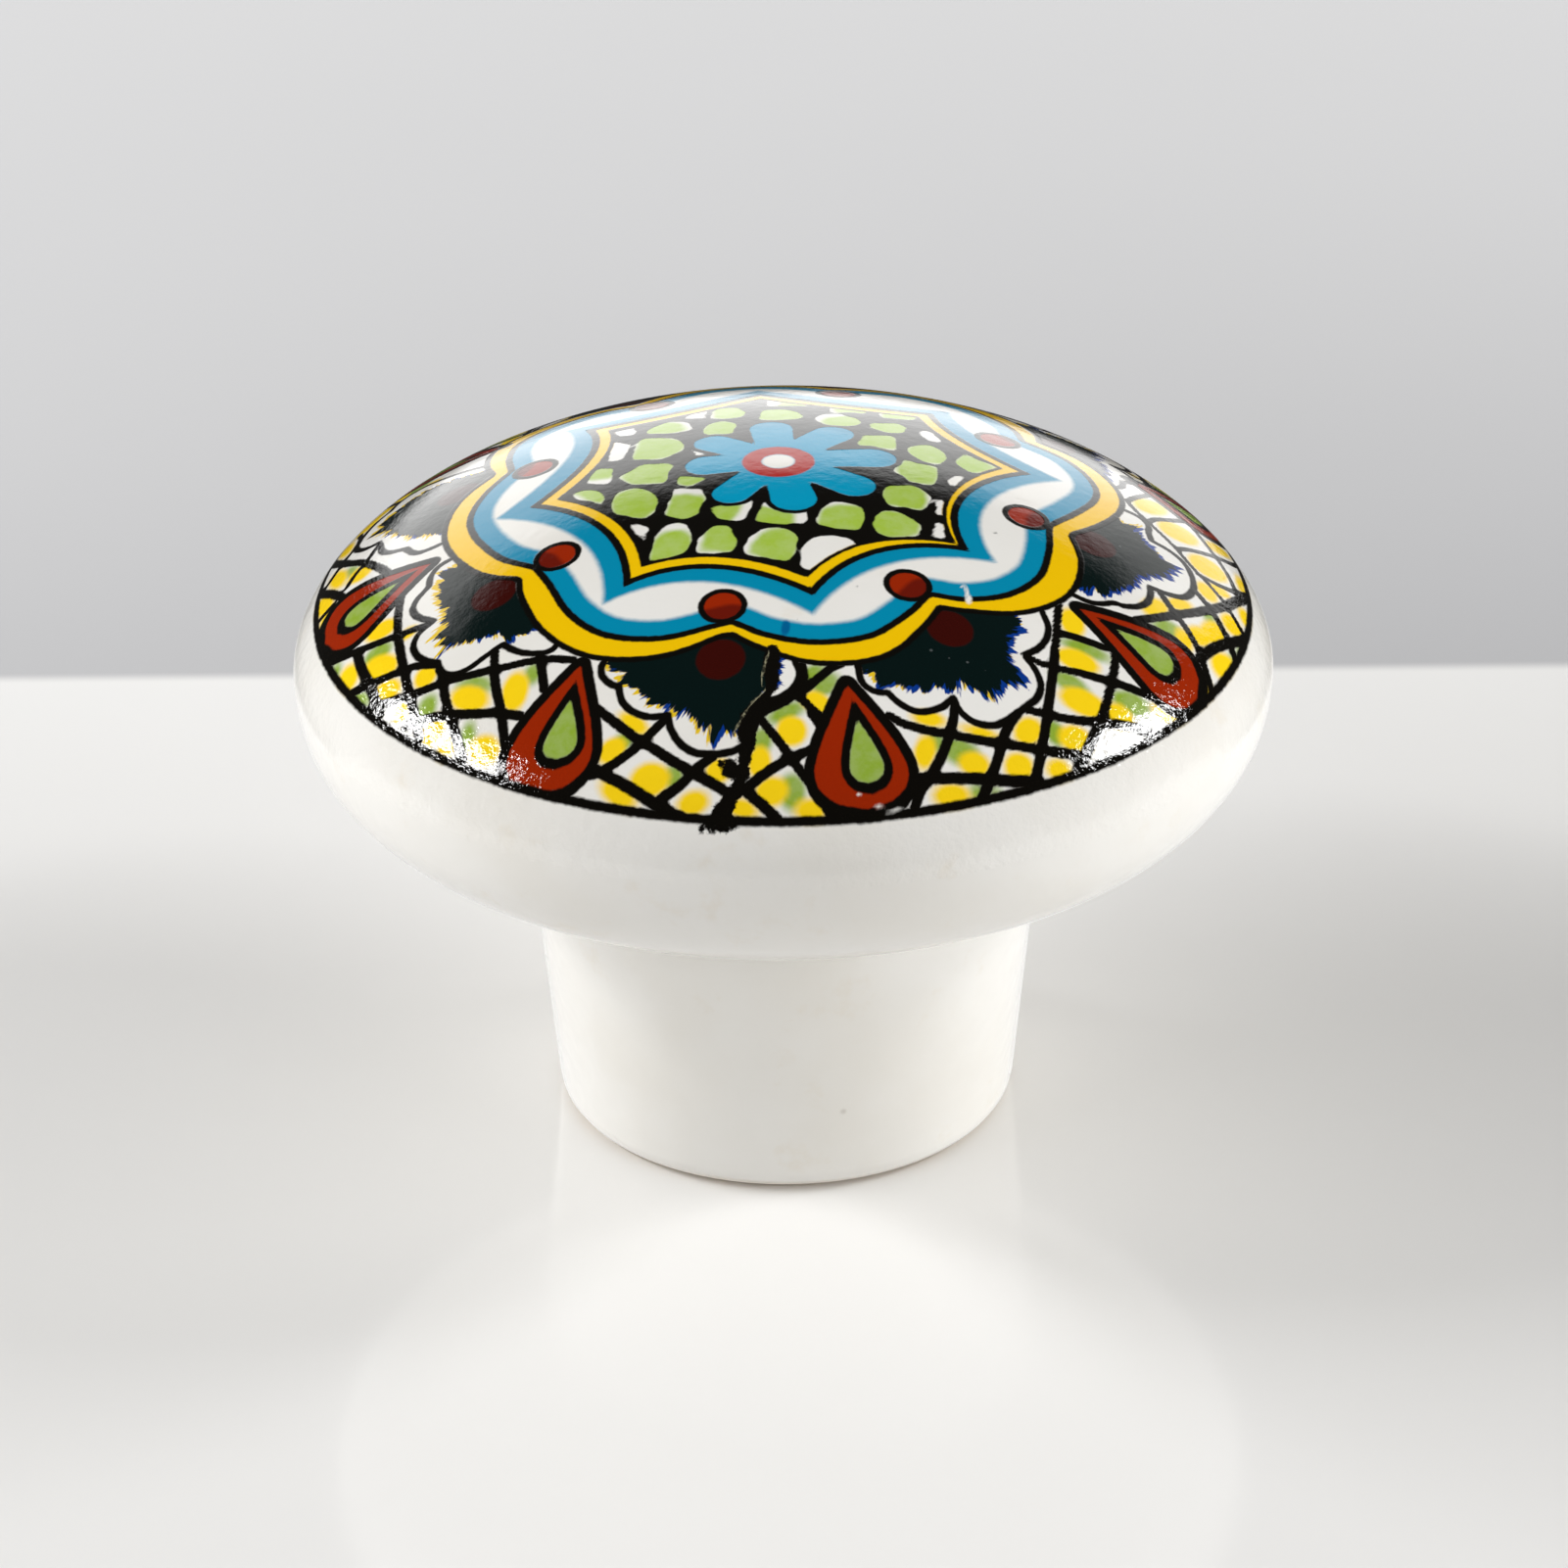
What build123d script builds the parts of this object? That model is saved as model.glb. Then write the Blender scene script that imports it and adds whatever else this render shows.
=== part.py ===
"""Cabinet knob: a glazed ceramic knob with a bun-shaped head, and the brass insert that takes its fixing screw.

Millimetres, +Z up. The knob stands on its foot, with the middle of the foot at the origin.
"""
from build123d import *
import os

# Head: its widest circle is the rim, and one smooth curve runs from there to the apex and one to the neck
head_diameter = 40.0
crown_height = 8.65  # apex above the rim
crown_reach = 11.0  # how far the flat of the apex pulls the upper curve outwards
rim_upper_reach = 3.95  # how far the upright of the rim pulls the upper curve upwards
rim_lower_reach = 4.8  # how far it pulls the lower curve downwards
rim_above_neck = 6.5

# Stem: a cone that narrows from the neck, where it meets the head, to the foot
neck_diameter = 21.6
neck_height = 13.4
underside_slope = 10.6  # degrees, the head's rise where it leaves the neck
underside_reach = 4.1  # how far that slope pulls the lower curve outwards
foot_diameter = 19.1
foot_soft = 0.9  # how far the foot's soft edge reaches up the stem and in under it

# Brass insert, with a tapped bore for the fixing screw
insert_diameter = 7.0
insert_length = 10.0
insert_recess = 0.5  # below the foot, so that the ceramic seats first
thread_bore_diameter = 3.3  # inside an M4 thread
thread_lead_in = 0.4
insert_end_chamfer = 0.3
groove_width = 0.9
groove_depth = 0.45
groove_pitch = 2.6
groove_count = 3

# Socket in the stem: the insert's seat, then a narrower space for the screw's end
bond_clearance = 0.15  # adhesive, all round the insert
seat_ledge = 1.2  # the step that the insert's inner end stands on
screw_overrun = 2.3
socket_lead_in = 0.4

head_radius = head_diameter / 2
neck_radius = neck_diameter / 2
foot_radius = foot_diameter / 2
rim_height = neck_height + rim_above_neck
overall_height = rim_height + crown_height
insert_radius = insert_diameter / 2
thread_bore_radius = thread_bore_diameter / 2
socket_radius = insert_radius + bond_clearance
overrun_radius = socket_radius - seat_ledge
seat_height = insert_recess + insert_length

os.makedirs("parts", exist_ok=True)

# Knob body: half of its section, turned round the Z axis
apex = Vector(0, overall_height)
rim = Vector(head_radius, rim_height)
neck = Vector(neck_radius, neck_height)
foot = Vector(foot_radius, 0)
outward = Vector(1, 0)
upward = Vector(0, 1)
along_underside = outward.rotate(Axis.Z, underside_slope)
along_stem = (neck - foot).normalized()
stem_end = foot + along_stem * foot_soft
foot_edge = foot - outward * foot_soft

with BuildPart() as knob_body:
    with BuildSketch(Plane.XZ):
        with BuildLine():
            Bezier(apex, apex + outward * crown_reach, rim + upward * rim_upper_reach, rim)
            Bezier(rim, rim - upward * rim_lower_reach, neck + along_underside * underside_reach, neck)
            Line(neck, stem_end)
            Bezier(stem_end, foot, foot_edge)
            Polyline(foot_edge, (0, 0), apex)
        make_face()
    revolve(axis=Axis.Z)

    # Stepped blind socket, from the foot upwards
    foot_face = knob_body.faces().sort_by(Axis.Z)[0]
    with Locations(foot_face):
        CounterBoreHole(
            radius=overrun_radius,
            counter_bore_radius=socket_radius,
            counter_bore_depth=seat_height,
            depth=seat_height + screw_overrun,
        )
    socket_mouth = knob_body.faces().sort_by(Axis.Z)[0].inner_wires().edges()
    chamfer(socket_mouth, length=socket_lead_in)

knob_body.part.label = "knob_body"
export_step(knob_body.part, "parts/knob_body.step")

# Threaded insert: a sleeve that stands on the socket's step, with grooves that hold the adhesive
groove_heights = [
    insert_recess + insert_length / 2 + (index - (groove_count - 1) / 2) * groove_pitch
    for index in range(groove_count)
]

with BuildPart() as threaded_insert:
    with BuildSketch(Plane.XY.offset(insert_recess)):
        Circle(insert_radius)
    extrude(amount=insert_length)
    outer_edges = threaded_insert.edges().filter_by(GeomType.CIRCLE)
    chamfer(outer_edges, length=insert_end_chamfer)

    with BuildSketch(Plane.XZ):
        with Locations(*[(insert_radius, height) for height in groove_heights]):
            Rectangle(2 * groove_depth, groove_width)
    revolve(axis=Axis.Z, mode=Mode.SUBTRACT)

    mouth_face = threaded_insert.faces().sort_by(Axis.Z)[0]
    with Locations(mouth_face):
        Hole(radius=thread_bore_radius)
    bore_mouth = threaded_insert.faces().sort_by(Axis.Z)[0].inner_wires().edges()
    chamfer(bore_mouth, length=thread_lead_in)

threaded_insert.part.label = "threaded_insert"
export_step(threaded_insert.part, "parts/threaded_insert.step")
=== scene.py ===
"""Cabinet knob: the glazed ceramic body with its fired print, the tapped brass insert and the studio.

Metres in the CAD frame. The knob stands on the middle of its foot, +Z up, with the viewer on the -Y side.
The print is drawn in plan, in millimetres from the knob's axis.
"""
import math

import bmesh
import bpy
import numpy as np
from mathutils import Matrix, Vector


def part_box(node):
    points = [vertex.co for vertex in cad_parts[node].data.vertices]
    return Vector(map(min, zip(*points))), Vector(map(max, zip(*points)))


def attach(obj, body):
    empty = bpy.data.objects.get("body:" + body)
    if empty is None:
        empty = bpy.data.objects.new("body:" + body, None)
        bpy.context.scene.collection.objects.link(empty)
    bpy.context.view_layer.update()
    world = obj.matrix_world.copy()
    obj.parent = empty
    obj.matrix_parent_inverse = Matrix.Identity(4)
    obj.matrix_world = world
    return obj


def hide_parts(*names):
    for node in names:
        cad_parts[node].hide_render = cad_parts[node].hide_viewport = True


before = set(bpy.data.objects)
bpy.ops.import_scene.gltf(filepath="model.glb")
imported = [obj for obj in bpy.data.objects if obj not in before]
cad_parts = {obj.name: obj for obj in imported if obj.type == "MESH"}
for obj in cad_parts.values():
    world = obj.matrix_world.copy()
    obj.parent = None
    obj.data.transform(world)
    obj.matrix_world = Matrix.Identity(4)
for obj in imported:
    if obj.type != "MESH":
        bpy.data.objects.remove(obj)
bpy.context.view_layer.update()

bl_info = {
    "name": "Cabinet Knob",
    "version": (1, 0, 0),
    "blender": (4, 5, 0),
    "location": "View3D > Sidebar > Knob",
    "description": "Builds a glazed cabinet knob with a fired print, its brass insert and a studio",
    "category": "Object",
}

MM = 0.001


# Settings

def srgb(red, green, blue):
    """Linear colour, with alpha, of an sRGB colour in 0 to 255."""
    values = [channel / 255 for channel in (red, green, blue)]
    return tuple(v / 12.92 if v <= 0.04045 else ((v + 0.055) / 1.055) ** 2.4 for v in values) + (1.0,)


def length(name, description, millimetres):
    return bpy.props.FloatProperty(
        name=name, description=description, default=millimetres * MM, min=0.0, unit="LENGTH", precision=5)


def whole_number(name, description, number, least):
    return bpy.props.IntProperty(name=name, description=description, default=number, min=least)


def power(name, light, watts):
    return bpy.props.FloatProperty(
        name=name, description=f"Power of the {light}", default=watts, min=0.0, unit="POWER")


def colour(name, description, red, green, blue):
    return bpy.props.FloatVectorProperty(
        name=name, description=description, default=srgb(red, green, blue), size=4, min=0.0, max=1.0,
        subtype="COLOR")


def setting_names(settings):
    return [name for name in settings.bl_rna.properties.keys() if name not in ("rna_type", "name")]


def setting_values(settings):
    """Settings by their labels in the panel, which the node groups' inputs share."""
    labels = settings.bl_rna.properties
    return {labels[name].name: getattr(settings, name) for name in setting_names(settings)}


class KnobShape(bpy.types.PropertyGroup):
    """Sizes of the turned body that its bounding box doesn't give."""
    crown_height: length("Crown Height", "Apex above the rim", 8.65)
    crown_reach: length("Crown Reach", "Pull of the apex on the upper curve", 11.0)
    rim_upper_reach: length("Rim Upper Reach", "Pull of the rim on the upper curve", 3.95)
    rim_lower_reach: length("Rim Lower Reach", "Pull of the rim on the lower curve", 4.8)
    neck_radius: length("Neck Radius", "Where the stem meets the head", 10.8)
    neck_height: length("Neck Height", "Neck above the foot", 13.4)
    neck_soft: length("Neck Softness", "Length of the glaze's soft corner on each side of the neck", 0.45)
    underside_slope: bpy.props.FloatProperty(
        name="Underside Slope", description="Rise of the head where it leaves the neck",
        default=math.radians(10.6), subtype="ANGLE")
    underside_reach: length("Underside Reach", "Pull of that slope on the lower curve", 4.1)
    foot_radius: length("Foot Radius", "Stem radius at the foot, before its soft edge", 9.55)
    foot_soft: length("Foot Softness", "Reach of the foot's soft edge", 0.9)
    socket_radius: length("Socket Radius", "Socket for the insert", 3.65)
    socket_depth: length("Socket Depth", "Step that the insert stands on, above the foot", 10.5)
    socket_lead_in: length("Socket Lead In", "Chamfer at the socket's mouth", 0.4)
    overrun_radius: length("Overrun Radius", "Space for the screw's end", 2.45)
    overrun_depth: length("Overrun Depth", "End of that space, above the foot", 12.8)
    crown_cells: whole_number("Crown Cells", "Cells across the crown's mesh, an even number", 256, 16)


class KnobInsert(bpy.types.PropertyGroup):
    """Sizes of the brass insert that its bounding box doesn't give."""
    end_chamfer: length("End Chamfer", "Chamfer at both outer ends", 0.3)
    lead_in: length("Lead In", "Countersink at the thread's mouth", 0.4)
    thread_inner: length("Thread Inner Radius", "Crest of the internal thread", 1.65)
    thread_depth: length("Thread Depth", "Crest to root", 0.35)
    thread_pitch: length("Thread Pitch", "Height of one turn", 0.7)
    groove_width: length("Groove Width", "Grooves that hold the adhesive", 0.9)
    groove_depth: length("Groove Depth", "Depth of those grooves", 0.45)
    groove_pitch: length("Groove Pitch", "Distance between grooves", 2.6)
    grooves: whole_number("Grooves", "Number of grooves", 3, 0)
    segments: whole_number("Segments", "Steps of the mesh round the sleeve", 96, 8)
    rows: whole_number("Rows", "Steps of the mesh along the thread", 150, 8)


class KnobPrint(bpy.types.PropertyGroup):
    """How the fired print looks."""
    ragged: bpy.props.FloatProperty(
        name="Ragged Edges", description="Wander of the ink's edges in millimetres", default=0.035, min=0.0)
    mottle: bpy.props.FloatProperty(
        name="Mottle", description="Unevenness of the ink's depth", default=0.12, min=0.0, max=1.0)
    relief: bpy.props.FloatProperty(
        name="Relief", description="Strength of the ink's relief in the glaze", default=0.5, min=0.0, max=1.0)


class KnobColours(bpy.types.PropertyGroup):
    """Colours of the glaze, the inks, the bare foot and the brass."""
    glaze: colour("Glaze", "White glaze", 233, 231, 226)
    black: colour("Black", "Outlines and the star's dark field", 10, 8, 5)
    leaf: colour("Leaf", "Green of the hearts and the dabs", 138, 167, 50)
    cell_leaf: colour("Cell Leaf", "Green of the cells round the flower", 160, 190, 66)
    sun: colour("Sun", "Yellow of the dabs", 248, 209, 22)
    gold: colour("Gold", "Yellow of the star and the scallops", 238, 191, 2)
    sky: colour("Sky", "Blue of the ribbon", 0, 134, 170)
    petal: colour("Petal", "Blue of the flower", 0, 150, 188)
    drip: colour("Drip", "Blue of the drip in the ribbon", 0, 92, 142)
    ring: colour("Ring", "Red of the flower's ring", 172, 22, 12)
    rust: colour("Rust", "Red of the teardrops and the dots", 150, 37, 3)
    rust_dark: colour("Dark Rust", "That red over the blue", 102, 20, 6)
    maroon: colour("Maroon", "That red over the fans' dark bodies", 54, 8, 4)
    fan_yellow: colour("Fan Yellow", "Yellow at the fans' torn edges", 226, 190, 36)
    fan_blue: colour("Fan Blue", "Blue at the fans' torn edges", 8, 52, 134)
    night: colour("Night", "The fans' blue over their yellow", 5, 20, 19)
    seam_edge: colour("Seam Edge", "Pale edge of the torn seam", 186, 180, 146)
    dust: colour("Dust", "Specks in the dark ink", 150, 156, 156)
    foot: colour("Foot", "Bare ceramic", 226, 218, 203)
    brass: colour("Brass", "Turned brass", 205, 170, 98)


class KnobStage(bpy.types.PropertyGroup):
    """Studio levels."""
    fill_left: power("Left Fill", "wide light on the left", 1.35)
    fill_right: power("Right Fill", "wide light on the right", 2.3)
    glint_left: power("Left Glint", "strip light that the glaze mirrors on the left", 1.15)
    glint_right: power("Right Glint", "strip light that the glaze mirrors on the right", 0.8)
    ambient: bpy.props.FloatProperty(
        name="Ambient", description="Level of the even light from all round", default=0.31, min=0.0)
    backdrop_line: length("Backdrop Line", "Where the floor's tone turns to the backdrop's", 38.0)


# Nodes

def pick(sockets, name):
    """Finds a socket by its place, its name or its identifier."""
    if isinstance(name, int):
        return sockets[name]
    for socket in sockets:
        if socket.enabled and name in (socket.name, socket.identifier):
            return socket
    raise KeyError(name)


class Field:
    """One output socket. Arithmetic on it adds Math nodes to its tree."""

    def __init__(self, graph, socket):
        self.graph = graph
        self.socket = socket

    def output(self, name):
        return Field(self.graph, pick(self.socket.node.outputs, name))

    def __add__(self, other):
        return self.graph.maths("ADD", self, other)

    def __radd__(self, other):
        return self.graph.maths("ADD", other, self)

    def __sub__(self, other):
        return self.graph.maths("SUBTRACT", self, other)

    def __rsub__(self, other):
        return self.graph.maths("SUBTRACT", other, self)

    def __mul__(self, other):
        return self.graph.maths("MULTIPLY", self, other)

    def __rmul__(self, other):
        return self.graph.maths("MULTIPLY", other, self)

    def __truediv__(self, other):
        return self.graph.maths("DIVIDE", self, other)

    def __rtruediv__(self, other):
        return self.graph.maths("DIVIDE", other, self)

    def __neg__(self):
        return self.graph.maths("MULTIPLY", self, -1.0)

    def __abs__(self):
        return self.graph.maths("ABSOLUTE", self)


class Graph:
    """Adds nodes to the tree of a material, a world or a Geometry Nodes group."""

    def __init__(self, tree):
        self.tree = tree

    def node(self, kind, settings=None, inputs=None, output=0):
        made = self.tree.nodes.new(kind)
        for name, value in (settings or {}).items():
            setattr(made, name, value)
        for name, value in (inputs or {}).items():
            socket = pick(made.inputs, name)
            for item in value if isinstance(value, list) else [value]:
                if isinstance(item, Field):
                    self.tree.links.new(item.socket, socket)
                else:
                    socket.default_value = item
        return Field(self, pick(made.outputs, output)) if len(made.outputs) else None

    def maths(self, operation, *values):
        return self.node("ShaderNodeMath", {"operation": operation}, dict(enumerate(values)))

    def combine(self, x, y, z):
        return self.node("ShaderNodeCombineXYZ", None, {0: x, 1: y, 2: z})

    def split(self, vector):
        parts = self.node("ShaderNodeSeparateXYZ", None, {0: vector})
        return [parts.output(index) for index in range(3)]

    def step(self, value, low, high, to_low=0.0, to_high=1.0):
        """Smooth step from low to high."""
        inputs = {"Value": value, "From Min": low, "From Max": high, "To Min": to_low, "To Max": to_high}
        return self.node("ShaderNodeMapRange", {"interpolation_type": "SMOOTHSTEP"}, inputs)

    def blend(self, factor, first, second, mode="MIX"):
        settings = {"data_type": "RGBA", "blend_type": mode, "clamp_factor": True}
        inputs = {"Factor_Float": factor, "A_Color": first, "B_Color": second}
        return self.node("ShaderNodeMix", settings, inputs, "Result_Color")

    def low(self, first, *others):
        for other in others:
            first = self.maths("MINIMUM", first, other)
        return first

    def high(self, first, *others):
        for other in others:
            first = self.maths("MAXIMUM", first, other)
        return first

    def band(self, value, low, high):
        """Distance to the band between two values, negative inside it."""
        return abs(value - (low + high) / 2) - (high - low) / 2

    def noise(self, spot, scale, detail=2.0, roughness=0.5):
        inputs = {"Vector": spot, "Scale": scale, "Detail": detail, "Roughness": roughness}
        return self.node("ShaderNodeTexNoise", None, inputs)


def new_material(name):
    material = bpy.data.materials.new(name)
    material.use_nodes = True
    material.node_tree.nodes.clear()
    return material, Graph(material.node_tree)


def finish_material(graph, inputs):
    shader = graph.node("ShaderNodeBsdfPrincipled", None, inputs)
    graph.node("ShaderNodeOutputMaterial", None, {"Surface": shader})


def object_millimetres(graph):
    spot = graph.node("ShaderNodeTexCoord", None, None, "Object")
    return graph.node("ShaderNodeVectorMath", {"operation": "SCALE"}, {"Vector": spot, "Scale": 1 / MM})


def axis_distance(graph, spot):
    x, y = graph.split(spot)[:2]
    return graph.maths("SQRT", x * x + y * y)


# Print outlines, in millimetres in plan

# Eight-pointed star: each point, then the bend of the edge that runs on to the next point
STAR = [
    (1.2, -9.72), (-3.0, -6.82), (-6.22, -8.42), (-6.2, -4.0), (-10.15, -1.15), (-6.75, 2.5), (-8.15, 6.55),
    (-4.08, 6.18), (-0.9, 9.5), (2.3, 6.7), (6.3, 7.5), (6.78, 3.7), (10.15, 1.7), (5.83, -2.05), (7.4, -6.0),
    (3.1, -6.04),
]

# Tips of the blue band round the star, in the same order
STAR_HALO_TIPS = [
    (1.17, -10.75), (-7.0, -9.2), (-11.5, -1.3), (-9.0, 7.3), (-1.0, 10.6), (7.0, 8.4), (11.4, 1.9),
    (8.4, -6.4),
]

# Scalloped edge of the middle: inner edge of its yellow band, with the band's width at each place.
# A lobe ends where the next one starts.
SCALLOPS = [
    [(-2.0, -11.2, .24), (-0.6, -11.97, .4), (1.3, -12.32, .72), (3.4, -11.85, .8), (4.9, -10.5, .55)],
    [(5.78, -9.22, .36), (7.2, -9.18, .36), (8.9, -8.38, .72), (10.2, -6.8, 1.0), (10.7, -4.8, 1.0)],
    [(10.82, -2.8, .5), (12.0, -0.95, .72), (12.85, 1.0, .76), (12.85, 2.9, .78), (11.9, 4.85, .7)],
    [(10.1, 6.0, .42), (9.75, 7.6, .7), (8.6, 9.6, .85), (6.9, 11.05, .8), (4.6, 11.68, .7)],
    [(2.0, 11.2, .38), (0.6, 11.95, .55), (-1.3, 12.32, .78), (-3.4, 11.85, .85), (-4.9, 10.6, .6)],
    [(-5.8, 9.5, .42), (-7.6, 9.75, .5), (-9.6, 8.95, .7), (-10.95, 7.5, .75), (-11.38, 5.4, .65)],
    [(-11.2, 3.35, .4), (-12.2, 1.6, .72), (-12.72, -0.4, .74), (-12.4, -2.4, .82), (-11.3, -4.65, .75)],
    [(-9.85, -6.05, .42), (-9.3, -7.3, .85), (-8.4, -9.45, .9), (-6.9, -11.05, .8), (-4.6, -11.7, .6)],
]

RIBBON_DOTS = [
    (-2.33, -10.15), (4.88, -8.7), (9.75, -2.5), (8.9, 5.1), (2.4, 9.9), (-5.4, 9.0), (-10.05, 2.75),
    (-8.88, -5.52),
]

# Flower: a petal's tip and its radius there
FLOWER_MIDDLE = (-0.13, 0.08)
PETALS = [
    (-0.42, 3.65, .87), (2.1, 3.1, .86), (3.75, 0.74, .89), (2.85, -1.95, .9), (0.47, -3.2, .92),
    (-1.99, -2.64, .79), (-3.01, 0.0, .87), (-2.75, 2.25, .8),
]

# Glaze cells between the star and the flower: how far the green misses the cell, or None, then the corners
CELLS = [
    ((0, -.6), [(-4.95, -5.1), (-4.5, -4.65), (-3.95, -4.65), (-3.57, -5.3), (-3.82, -6.72), (-5.2, -7.0)]),
    ((.15, .12), [(-2.75, -5.05), (-2.15, -5.1), (-1.78, -6.1), (-2.0, -6.95), (-3.32, -6.8), (-3.15, -5.7)]),
    ((.28, 0), [(-.7, -5.45), (.2, -5.55), (.6, -6.1), (.2, -7.75), (-1.48, -7.05), (-1.35, -6.25)]),
    (None, [(1.42, -5.87), (2.3, -5.9), (2.83, -6.4), (1.2, -8.2), (.7, -8.0), (.97, -6.3)]),
    (None, [(-5.9, -4.3), (-5.3, -4.75), (-5.45, -5.62)]),
    ((0, 0), [(-6.55, -1.6), (-5.8, -1.4), (-4.9, -2.3), (-5.02, -3.4), (-5.5, -3.95), (-6.6, -3.3),
        (-6.78, -2.4)]),
    ((0, -.6), [(-4.25, -1.92), (-3.1, -2.2), (-3.1, -3.2), (-3.35, -4.05), (-3.95, -4.4), (-4.62, -3.95)]),
    ((0, 0), [(-4.15, -.8), (-3.0, -1.2), (-3.7, -1.75), (-4.15, -1.45)]),
    ((0, 0), [(-5.6, .85), (-4.4, .4), (-4.6, -1.2), (-5.95, -1.0), (-6.45, -.15)]),
    ((0, 0), [(-5.7, 3.75), (-4.75, 3.45), (-3.97, 2.65), (-4.05, 1.78), (-4.76, 1.15), (-6.0, 1.4)]),
    ((-.35, 0), [(-5.5, 4.75), (-4.65, 5.55), (-3.9, 5.2), (-3.6, 4.2), (-4.5, 3.92), (-5.45, 4.35)]),
    (None, [(-6.88, 3.92), (-6.27, 3.2), (-6.52, 1.55), (-7.04, 1.7)]),
    (None, [(-6.9, 5.3), (-6.02, 5.4), (-6.08, 4.48), (-6.6, 4.6)]),
    ((.1, .6), [(-7.45, 1.12), (-6.85, .9), (-6.95, -.58), (-7.95, -.28), (-7.78, .4)]),
    ((.15, .1), [(-8.45, -.75), (-7.4, -1.0), (-7.1, -1.6), (-7.25, -2.25), (-8.2, -1.35)]),
    ((-.5, -.1), [(-2.87, -3.65), (-1.2, -3.35), (-1.35, -4.3), (-1.68, -4.75), (-2.43, -4.66),
        (-2.88, -4.0)]),
    ((-.65, -.15), [(-.78, -3.57), (1.0, -4.2), (.88, -5.14), (.2, -5.2), (-.97, -4.9)]),
    ((.12, -.28), [(1.6, -3.75), (2.1, -3.4), (3.0, -3.5), (3.34, -3.88), (3.05, -5.3), (2.4, -5.5),
        (1.35, -5.05)]),
    ((-.05, .05), [(4.12, -3.86), (4.95, -4.0), (5.46, -4.62), (5.3, -5.42), (4.14, -5.75), (3.55, -5.27),
        (3.7, -4.3)]),
    ((-.15, .1), [(4.25, -1.8), (5.0, -1.5), (5.6, -1.76), (5.9, -2.34), (5.65, -3.5), (4.25, -3.36),
        (4.05, -2.8)]),
    ((0, 0), [(5.0, .77), (6.22, .42), (6.26, -.4), (6.06, -1.22), (5.1, -1.16), (4.6, -.28)]),
    ((0, 0), [(5.2, 2.24), (5.95, 2.88), (6.4, 2.5), (6.72, 1.63), (6.4, .9), (5.65, .9), (5.14, 1.68)]),
    ((0, 0), [(3.35, 3.2), (4.53, 3.3), (4.7, 2.4), (4.58, 1.85), (3.1, 1.95)]),
    ((0, 0), [(3.7, 4.78), (4.72, 5.16), (5.16, 4.55), (5.04, 3.85), (4.15, 3.7), (3.58, 4.24)]),
    ((.35, -.35), [(1.6, 5.6), (2.38, 5.84), (3.18, 5.3), (3.18, 4.5), (2.9, 4.2), (1.9, 4.2), (1.38, 4.9)]),
    (None, [(5.9, 4.7), (6.25, 4.4), (6.5, 3.3), (5.98, 3.4), (5.6, 4.2)]),
    ((-.2, .1), [(7.5, 2.3), (8.8, 1.45), (8.2, .68), (7.65, .4), (7.08, 1.15)]),
    (None, [(7.38, .05), (6.93, -1.15), (6.55, -1.1), (6.74, -.37)]),
    (None, [(6.1, -4.3), (6.35, -4.35), (6.5, -5.4), (5.85, -5.42)]),
    (None, [(6.22, -2.4), (6.45, -2.45), (6.32, -3.58), (6.14, -3.6)]),
    ((0, 0), [(-.85, 6.35), (-.1, 6.55), (.85, 5.9), (.95, 5.2), (.33, 4.76), (-.88, 4.95)]),
    ((0, 0), [(-2.72, 6.85), (-1.95, 7.05), (-1.45, 6.25), (-1.38, 5.45), (-2.0, 5.2), (-2.75, 5.5)]),
    ((0, 0), [(-2.95, 4.65), (-2.42, 4.92), (-1.8, 4.4), (-1.85, 3.25), (-3.24, 3.38)]),
    (None, [(-3.62, 1.75), (-3.0, 1.3), (-3.26, .97), (-3.6, 1.15)]),
    ((.2, 0), [(2.05, 6.9), (3.48, 6.85), (3.45, 6.15), (2.08, 6.12)]),
    ((.2, 0), [(4.1, 6.55), (5.55, 6.9), (5.45, 5.85), (4.1, 5.75)]),
    ((.5, -.3), [(-.45, 8.4), (.8, 7.95), (1.15, 7.0), (-.5, 6.95)]),
    (None, [(-3.85, 6.25), (-3.15, 6.6), (-3.25, 5.75), (-3.92, 5.85)]),
]

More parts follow.
